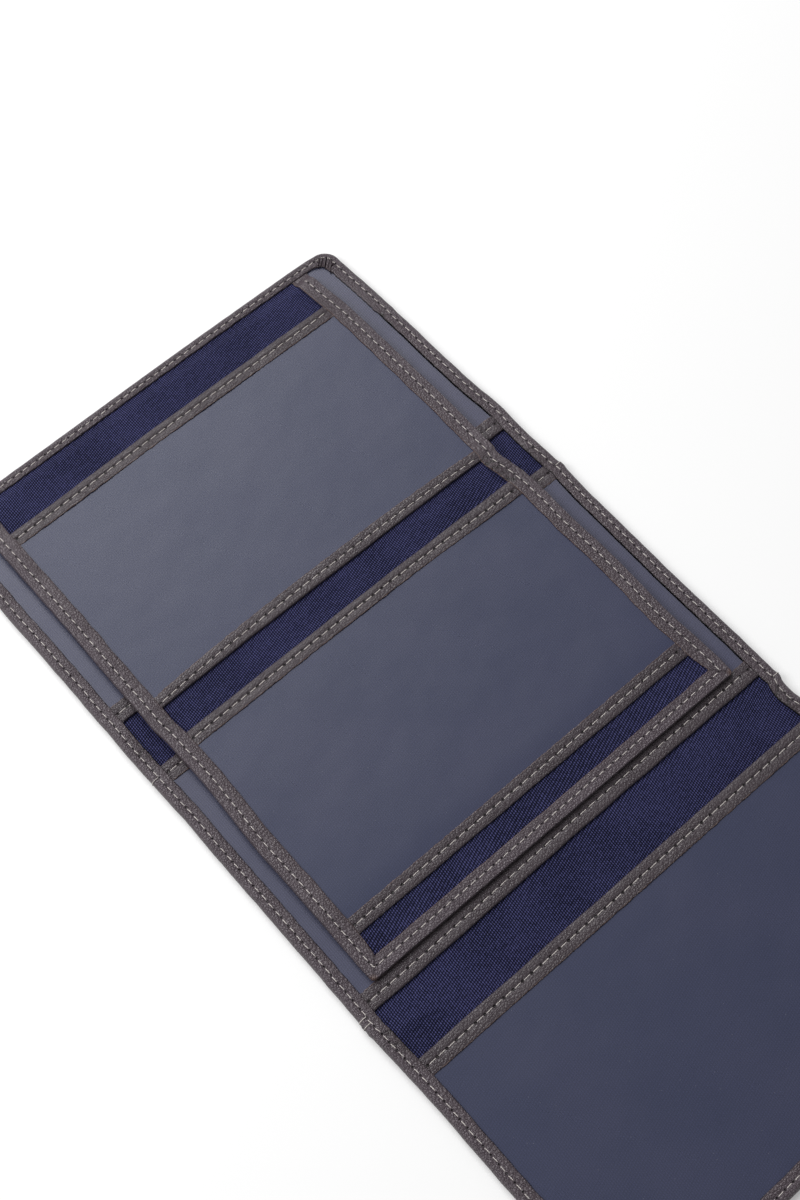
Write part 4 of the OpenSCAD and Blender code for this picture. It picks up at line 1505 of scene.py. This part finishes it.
class BindingStrip:
    """A strip folded round a window's mouth: soft lip, stitched groove and cut edge."""

    def __init__(self, half: float, width: float, pitch: float, stitch: float,
                 finishes: Finishes) -> None:
        """Keeps the strip's sizes.

        Args:
            half: half its length, in mm.
            width: its width.
            pitch: distance between its stitches.
            stitch: visible length of a stitch.
            finishes: the materials.
        """
        self.half, self.width, self.pitch, self.stitch = half, width, pitch, stitch
        self.finishes = finishes
        self.line = 0.5 * width

    def bind(self, name: str, body: Body, mouth: int, settle: Settle) -> None:
        """Builds the strip in place of its node and lets it ride on a body."""
        box = Extent.of(name)
        lip = box.low[1] if mouth < 0 else box.high[1]
        hide, row = self.build(name, lip, mouth, box.low[2], box.high[2], settle)
        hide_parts(name)
        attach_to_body(hide, body.value)
        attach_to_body(row, body.value)

    def build(self, name: str, lip: float, mouth: int, low: float, top: float,
              settle: Settle) -> tuple[bpy.types.Object, bpy.types.Object]:
        """Builds the strip and its stitches.

        Args:
            name: the strip's name.
            lip: Y of its folded edge.
            mouth: 1 if the folded edge looks to the far side, -1 if to the near side.
            low: height that it lies on.
            top: height of its upper face.
            settle: moves flat points to where they lie.

        Returns:
            The leather and the thread.
        """
        x = spread([-self.half, self.half], 0.8)
        w, tall, line = self.width, top - low, self.line
        seed = sum(ord(c) for c in name)
        stops = np.array([
            (0.55, low + 0.02), (0.18, low + 0.03), (0.0, low + 0.18 * tall),
            (-0.06, low + 0.48 * tall), (0.02, low + 0.78 * tall), (0.28, top),
            (0.75, top + 0.08), (0.5 * line + 0.4, top + 0.09), (line - 0.55, top + 0.04),
            (line - 0.22, top - 0.06), (line, top - 0.15), (line + 0.22, top - 0.09),
            (line + 0.6, top - 0.01), (0.5 * (line + w), top + 0.03),
            (w - 0.45, top), (w - 0.1, top - 0.03), (w, top - 0.10),
            (w + 0.01, top - 0.24), (w - 0.02, top - 0.34)])
        away, height = smooth_curve(stops.T, 34)
        across, depth = np.meshgrid(x, away, indexing="ij")
        _, z = np.meshgrid(x, height, indexing="ij")
        cut = ease((depth - w + 1.2) / 1.2)
        ragged = 0.05 * ripple(across, 5.0, seed) + 0.05 * ripple(across, 1.3, seed + 1)
        depth = depth + cut * ragged
        soft = ease(1.0 - depth / 1.5)
        depth = depth + soft * 0.05 * ripple(across, 17.0, seed + 2)
        z = z + 0.03 * ripple(across, 7.0, seed + 3) * (z > low + 0.3 * tall)
        tuck = ease((np.abs(across) - self.half + 2.2) / 1.6)
        z = z - 0.25 * tuck * (z - low)
        y = lip - mouth * depth
        points = settle(np.stack([across, y, z], axis=-1))
        run = run_along(away, height)
        hide = np.stack([across, np.broadcast_to(run, across.shape) + seed % 97], axis=-1)
        normals = Patch(points, hide, flip=mouth < 0).normals
        column = int(np.argmin(np.abs(away - line) + 10.0 * (height < low + 0.5 * tall)))
        inner = np.abs(x) < self.half + 0.1
        row = StitchRow(points[inner, column], normals[inner, column], self.pitch,
                        self.stitch, width=0.20, height=0.12)
        count = (x - x[inner][0]) / self.pitch
        seam = np.stack([np.broadcast_to(count[:, None], across.shape), depth - line], axis=-1)
        raw = ease((depth - w + 0.22) / 0.2)
        leather = Piece(name + "_hide", self.finishes.strip_leather, Slot.LEATHER)
        leather.add(Patch(points, hide, seam, raw, flip=mouth < 0))
        thread = Piece(name + "_stitches", self.finishes.thread, Slot.THREAD)
        return leather.build(), thread.add(*row.patches()).build()


class Leaf:
    """The inner leaf: hide, lining, two windows with their strips, and thread."""

    def __init__(self, plan: WalletPlan, lie: Lie, finishes: Finishes) -> None:
        """Lays out the leaf's outline and edge."""
        self.plan, self.lie, self.finishes = plan, lie, finishes
        self.edge = TurnedEdge(low=plan.leaf_low, inner_drop=0.50, roundness=0.34, stitch=2.35,
                               groove=0.13, reach=7.0)
        self.root = plan.leaf_turn + 2.4
        self.middle = 85.0
        self.lining_inset, self.film_inset = 1.2, 1.4
        self.parts = (
            Part("head", self.root, self.middle,
                 Bend(Body.FAR, Body.LEAF_UPPER, plan.leaf_turn + 0.6, plan.leaf_turn - 3.0),
                 hide=("leaf_back_upper", "leaf_edges_upper", "leaf_root"),
                 lining=("leaf_lining_upper",), thread=("leaf_thread_upper",)),
            Part("middle", self.middle, plan.leaf_fold_near,
                 Bend(Body.LEAF_UPPER, Body.LEAF_SPINE, plan.leaf_fold_far + 2.8,
                      plan.leaf_fold_far - 2.8),
                 hide=("leaf_back_spine", "leaf_edges_spine"),
                 lining=("leaf_lining_spine",), thread=("leaf_thread_spine",)),
            Part("lower", plan.leaf_fold_near, plan.leaf_near, Body.LEAF_LOWER,
                 hide=("leaf_back_lower", "leaf_edges_lower", "leaf_hem"),
                 lining=("leaf_lining_lower",), thread=("leaf_thread_lower",)),
        )
        self.outline = Outline(plan.leaf_half_width, plan.leaf_near, self.root,
                               plan.leaf_corner, 0.25, [part.low for part in self.parts[:-1]],
                               0.6, far_end=False)
        self.rim, self.row = self._rim()

    def build(self) -> None:
        """Builds every piece of the leaf."""
        self._hide()
        self._lining()
        self._windows()
        self._strips()
        self._thread()

    def _rim(self) -> tuple[Patch, StitchRow]:
        """The turned edge round the leaf's free sides, and its stitch row."""
        p, line = self.plan, self.outline
        blend_side = ease((p.leaf_near + 9.0 - line.y) / 5.0)
        side = line.kind == Kind.SIDE.value
        width = np.where(side, p.leaf_edge_width + (p.leaf_hem_width - p.leaf_edge_width)
                         * blend_side, p.leaf_hem_width)
        width = width + 0.08 * ripple(line.x + 1.3 * line.y, 11.0, 61)
        top = np.full_like(width, p.leaf_edge_top)
        depth, flat = self.edge.section(width, top)
        x, y = line.inset(depth)
        upper = ease((flat - p.leaf_low - 0.5) / 0.9)
        crease = ripple(y - 0.3 * depth * np.sign(x), 1.7, 62)
        near_fold = swell(y, self.lie.leaf_fold + 1.0, 4.5) * (x > 0) + 0.5 * swell(
            y, self.lie.leaf_fold, 4.0) * (x < 0)
        flat = flat + 0.07 * crease * near_fold * upper
        inner = ease((depth - 2.5) / 0.9) * upper
        pucker = pleats((y - 0.3 * depth) / 0.85) * inner * (x > 0)
        pucker = pucker * (swell(y, 49.0, 2.6) + 0.7 * swell(y, 40.5, 1.6))
        flat = flat - 0.28 * pucker
        kink = swell(y - 0.45 * depth, self.lie.leaf_fold - 6.5, 0.45) * (x > 0)
        flat = flat - 0.25 * kink * upper
        # The shade mark is painted shade: in creases, the kink and puckers near the fold, and on the
        # rim's lower face at the near end
        shade = 0.9 * near_fold * ease((-0.2 - crease) / 0.6) * ease((depth - 1.2) / 1.5) * upper
        shade = shade + 0.8 * kink * ease((depth - 2.6) / 1.0) * upper + 0.8 * pucker
        tall = p.leaf_edge_top - p.leaf_low
        under = ease((p.leaf_edge_top - 0.6 * tall - flat) / (0.2 * tall)) * (~side)[:, None]
        under = under * ease((0.9 - depth) / 0.3)
        shade = np.clip(shade + 0.9 * under, 0.0, 1.0)
        flat = flat + 0.025 * ripple(x - y, 5.0, 63) * upper
        points = self.lie.leaf(np.stack([x, y, flat], axis=-1))
        hide, seam, row = sew_edge(self.edge, line, points, depth, flat, p.leaf_low + 0.9,
                                   p.leaf_edge_top - 0.6, LEAF_MAP_START)
        raw = ease((depth - width[:, None] + 0.16) / 0.14) * (flat > p.leaf_low + 0.8) * 0.8
        tip = np.hypot(np.abs(x) - p.leaf_half_width, y - p.leaf_near)
        raw = np.maximum(raw, ease((1.9 - tip) / 1.2) * (flat > p.leaf_low + 0.2))
        return Patch(points, hide, seam, raw, shade), row

    def _stations(self, high: float, low: float) -> list[np.ndarray]:
        """Runs of stations between two Y places."""
        line = self.outline
        inside = (line.y <= high + TOUCH) & (line.y >= low - TOUCH)
        if low <= line.near + TOUCH:
            return [np.flatnonzero(inside)]
        return [np.flatnonzero(inside & (line.x < 0)), np.flatnonzero(inside & (line.x > 0))]

    def _hide(self) -> None:
        """The leaf's leather in three pieces."""
        p = self.plan
        inset = self.edge.reach - BACK_OVERLAP
        for part in self.parts:
            piece = Piece(f"leaf_hide_{part.name}", self.finishes.leather, Slot.LEATHER)
            for run in self._stations(part.high, part.low):
                piece.add(self.rim.rows(run))
            y = spread([part.high, max(part.low, p.leaf_near + inset)], 1.4)
            x = spread([-p.leaf_half_width + inset, p.leaf_half_width - inset], 2.0)
            obj = piece.add(flat_grid(x, y, p.leaf_low + BACK_LIFT, self.lie.leaf)).build()
            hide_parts(*part.hide)
            attach(obj, part.holder)

    def _lining(self) -> None:
        """The leaf's woven lining in three pieces."""
        p = self.plan
        half = p.leaf_half_width - self.lining_inset
        for part in self.parts:
            y = spread([part.high, max(part.low, p.leaf_near + self.lining_inset)], 1.0)
            x = spread([-half, half], 1.5)
            across, along = np.meshgrid(x, y)
            slack = swell(along, self.lie.leaf_fold, 5.0) * ripple(along - 0.1 * across, 5.0, 71)
            z = p.leaf_lining_top + 0.12 * slack
            piece = Piece(f"leaf_lining_{part.name}_cloth", self.finishes.lining, Slot.LINING)
            obj = piece.add(flat_grid(x, y, z, self.lie.leaf)).build()
            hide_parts(*part.lining)
            attach(obj, part.holder)

    def _windows(self) -> None:
        """Frosted film of the two leaf pockets."""
        p = self.plan
        for name, body in (("leaf_window_upper", Body.LEAF_UPPER),
                           ("leaf_window_lower", Body.LEAF_LOWER)):
            box = Extent.of(name)
            half = p.leaf_half_width - self.film_inset
            y = spread([box.high[1], box.low[1]], 2.0)
            x = spread([-half, half], 2.0)
            across, along = np.meshgrid(x, y)
            sag = 0.07 * ripple(across + 0.5 * along, 40.0, 81)
            piece = Piece(f"{name}_film", self.finishes.film, Slot.FILM)
            obj = piece.add(flat_grid(x, y, box.high[2] + sag, self.lie.leaf)).build()
            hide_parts(name)
            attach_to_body(obj, body.value)

    def _strips(self) -> None:
        """Binding strips of the leaf's pockets."""
        p = self.plan
        maker = BindingStrip(p.leaf_half_width - p.leaf_edge_width + STRIP_OVERLAP,
                             p.leaf_strip_width, STRIP_PITCH, STRIP_STITCH, self.finishes)
        for name, body, mouth in (("leaf_strip_1", Body.LEAF_UPPER, 1),
                                  ("leaf_strip_2", Body.LEAF_UPPER, -1),
                                  ("leaf_strip_3", Body.LEAF_LOWER, 1),
                                  ("leaf_strip_4", Body.LEAF_LOWER, -1)):
            maker.bind(name, body, mouth, self.lie.leaf)

    def _thread(self) -> None:
        """Stitches round the leaf's free sides."""
        for part in self.parts:
            piece = Piece(f"leaf_stitches_{part.name}", self.finishes.thread, Slot.THREAD)
            top = self.plan.leaf_turn - 1.0 if part.name == "head" else part.high
            low = part.low - (BEYOND_HEM if part.name == "lower" else 0.0)
            obj = piece.add(*self.row.patches(low, top)).build()
            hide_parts(*part.thread)
            attach(obj, part.holder)


@dataclass(frozen=True)
class Studio:
    """Pale floor, soft light and the camera at the photograph's angle."""

    eye: tuple[float, float, float] = (-0.11858, -0.12537, 0.4111)
    right: tuple[float, float, float] = (0.75380, -0.65681, -0.01965)
    up: tuple[float, float, float] = (0.59450, 0.66895, 0.44618)
    back: tuple[float, float, float] = (-0.27991, -0.34801, 0.89473)
    lens: float = 56.14
    sensor: float = 36.0

    def build(self) -> None:
        """Builds the studio."""
        bpy.context.scene.view_settings.view_transform = "Standard"
        self._camera()
        self._floor()
        self._world()
        self._lamp("key", (-0.55, 0.35, 0.70), 0.45, 4.4)
        self._lamp("window", (0.20, 0.85, 0.90), 0.60, 8.6)

    def _camera(self) -> None:
        """The camera."""
        data = bpy.data.cameras.new("camera")
        data.lens, data.sensor_width, data.sensor_fit = self.lens, self.sensor, "AUTO"
        data.clip_start, data.clip_end = 0.01, 20.0
        camera = bpy.data.objects.new("camera", data)
        turn = Matrix((self.right, self.up, self.back)).transposed().to_4x4()
        camera.matrix_world = Matrix.Translation(self.eye) @ turn
        bpy.context.scene.collection.objects.link(camera)
        bpy.context.scene.camera = camera

    def _floor(self) -> None:
        """The floor, which shows white to the camera and keeps the shadow."""
        mesh = bpy.data.meshes.new("floor")
        mesh.from_pydata([(-6, -6, 0), (6, -6, 0), (6, 6, 0), (-6, 6, 0)], [], [(0, 1, 2, 3)])
        floor = bpy.data.objects.new("floor", mesh)
        floor.location.z = -0.0002
        bpy.context.scene.collection.objects.link(floor)
        material = bpy.data.materials.new("white paper")
        graph = empty_graph(material)
        paper = graph.node("ShaderNodeBsdfDiffuse", {"Color": (0.8, 0.8, 0.8, 1.0)})
        glow = graph.node("ShaderNodeEmission", {"Color": (1.0, 1.0, 1.0, 1.0)})
        path = graph.node("ShaderNodeLightPath").outputs
        seen = graph.math("MAXIMUM", path["Is Camera Ray"], path["Is Glossy Ray"])
        seen = graph.math("MAXIMUM", seen, path["Is Transmission Ray"])
        graph.feed(glow.inputs["Strength"], graph.math("MULTIPLY", seen, 0.24))
        both = graph.node("ShaderNodeAddShader", {0: paper.outputs[0], 1: glow.outputs[0]})
        out = graph.node("ShaderNodeOutputMaterial")
        graph.feed(out.inputs["Surface"], both.outputs[0])
        mesh.materials.append(material)

    def _world(self) -> None:
        """Even soft light from all round, white to the camera."""
        world = bpy.data.worlds.new("studio")
        bpy.context.scene.world = world
        graph = empty_graph(world)
        path = graph.node("ShaderNodeLightPath").outputs
        strength = graph.math("MULTIPLY_ADD", path["Is Camera Ray"], 0.75, 0.25)
        sky = graph.node("ShaderNodeBackground", {"Color": (1.0, 1.0, 1.0, 1.0),
                                                  "Strength": strength})
        out = graph.node("ShaderNodeOutputWorld")
        graph.feed(out.inputs["Surface"], sky.outputs[0])

    def _lamp(self, name: str, place: tuple[float, float, float], size: float,
              power: float) -> None:
        """A square soft lamp that looks at the wallet."""
        data = bpy.data.lights.new(name, "AREA")
        data.shape, data.size, data.energy = "SQUARE", size, power
        lamp = bpy.data.objects.new(name, data)
        lamp.location = place
        lamp.rotation_mode = "QUATERNION"
        lamp.rotation_quaternion = (Vector((0, 0, 0)) - Vector(place)).to_track_quat("-Z", "Y")
        bpy.context.scene.collection.objects.link(lamp)


def main() -> None:
    """Builds the studio, the cover and the leaf in order."""
    logging.basicConfig(level=logging.INFO, format="%(name)s: %(message)s")
    plan = WalletPlan.from_frame()
    lie = Lie(plan)
    Studio().build()
    finishes = Finishes.build()
    Cover(plan, lie, finishes).build()
    Leaf(plan, lie, finishes).build()


if __name__ == "__main__":
    main()
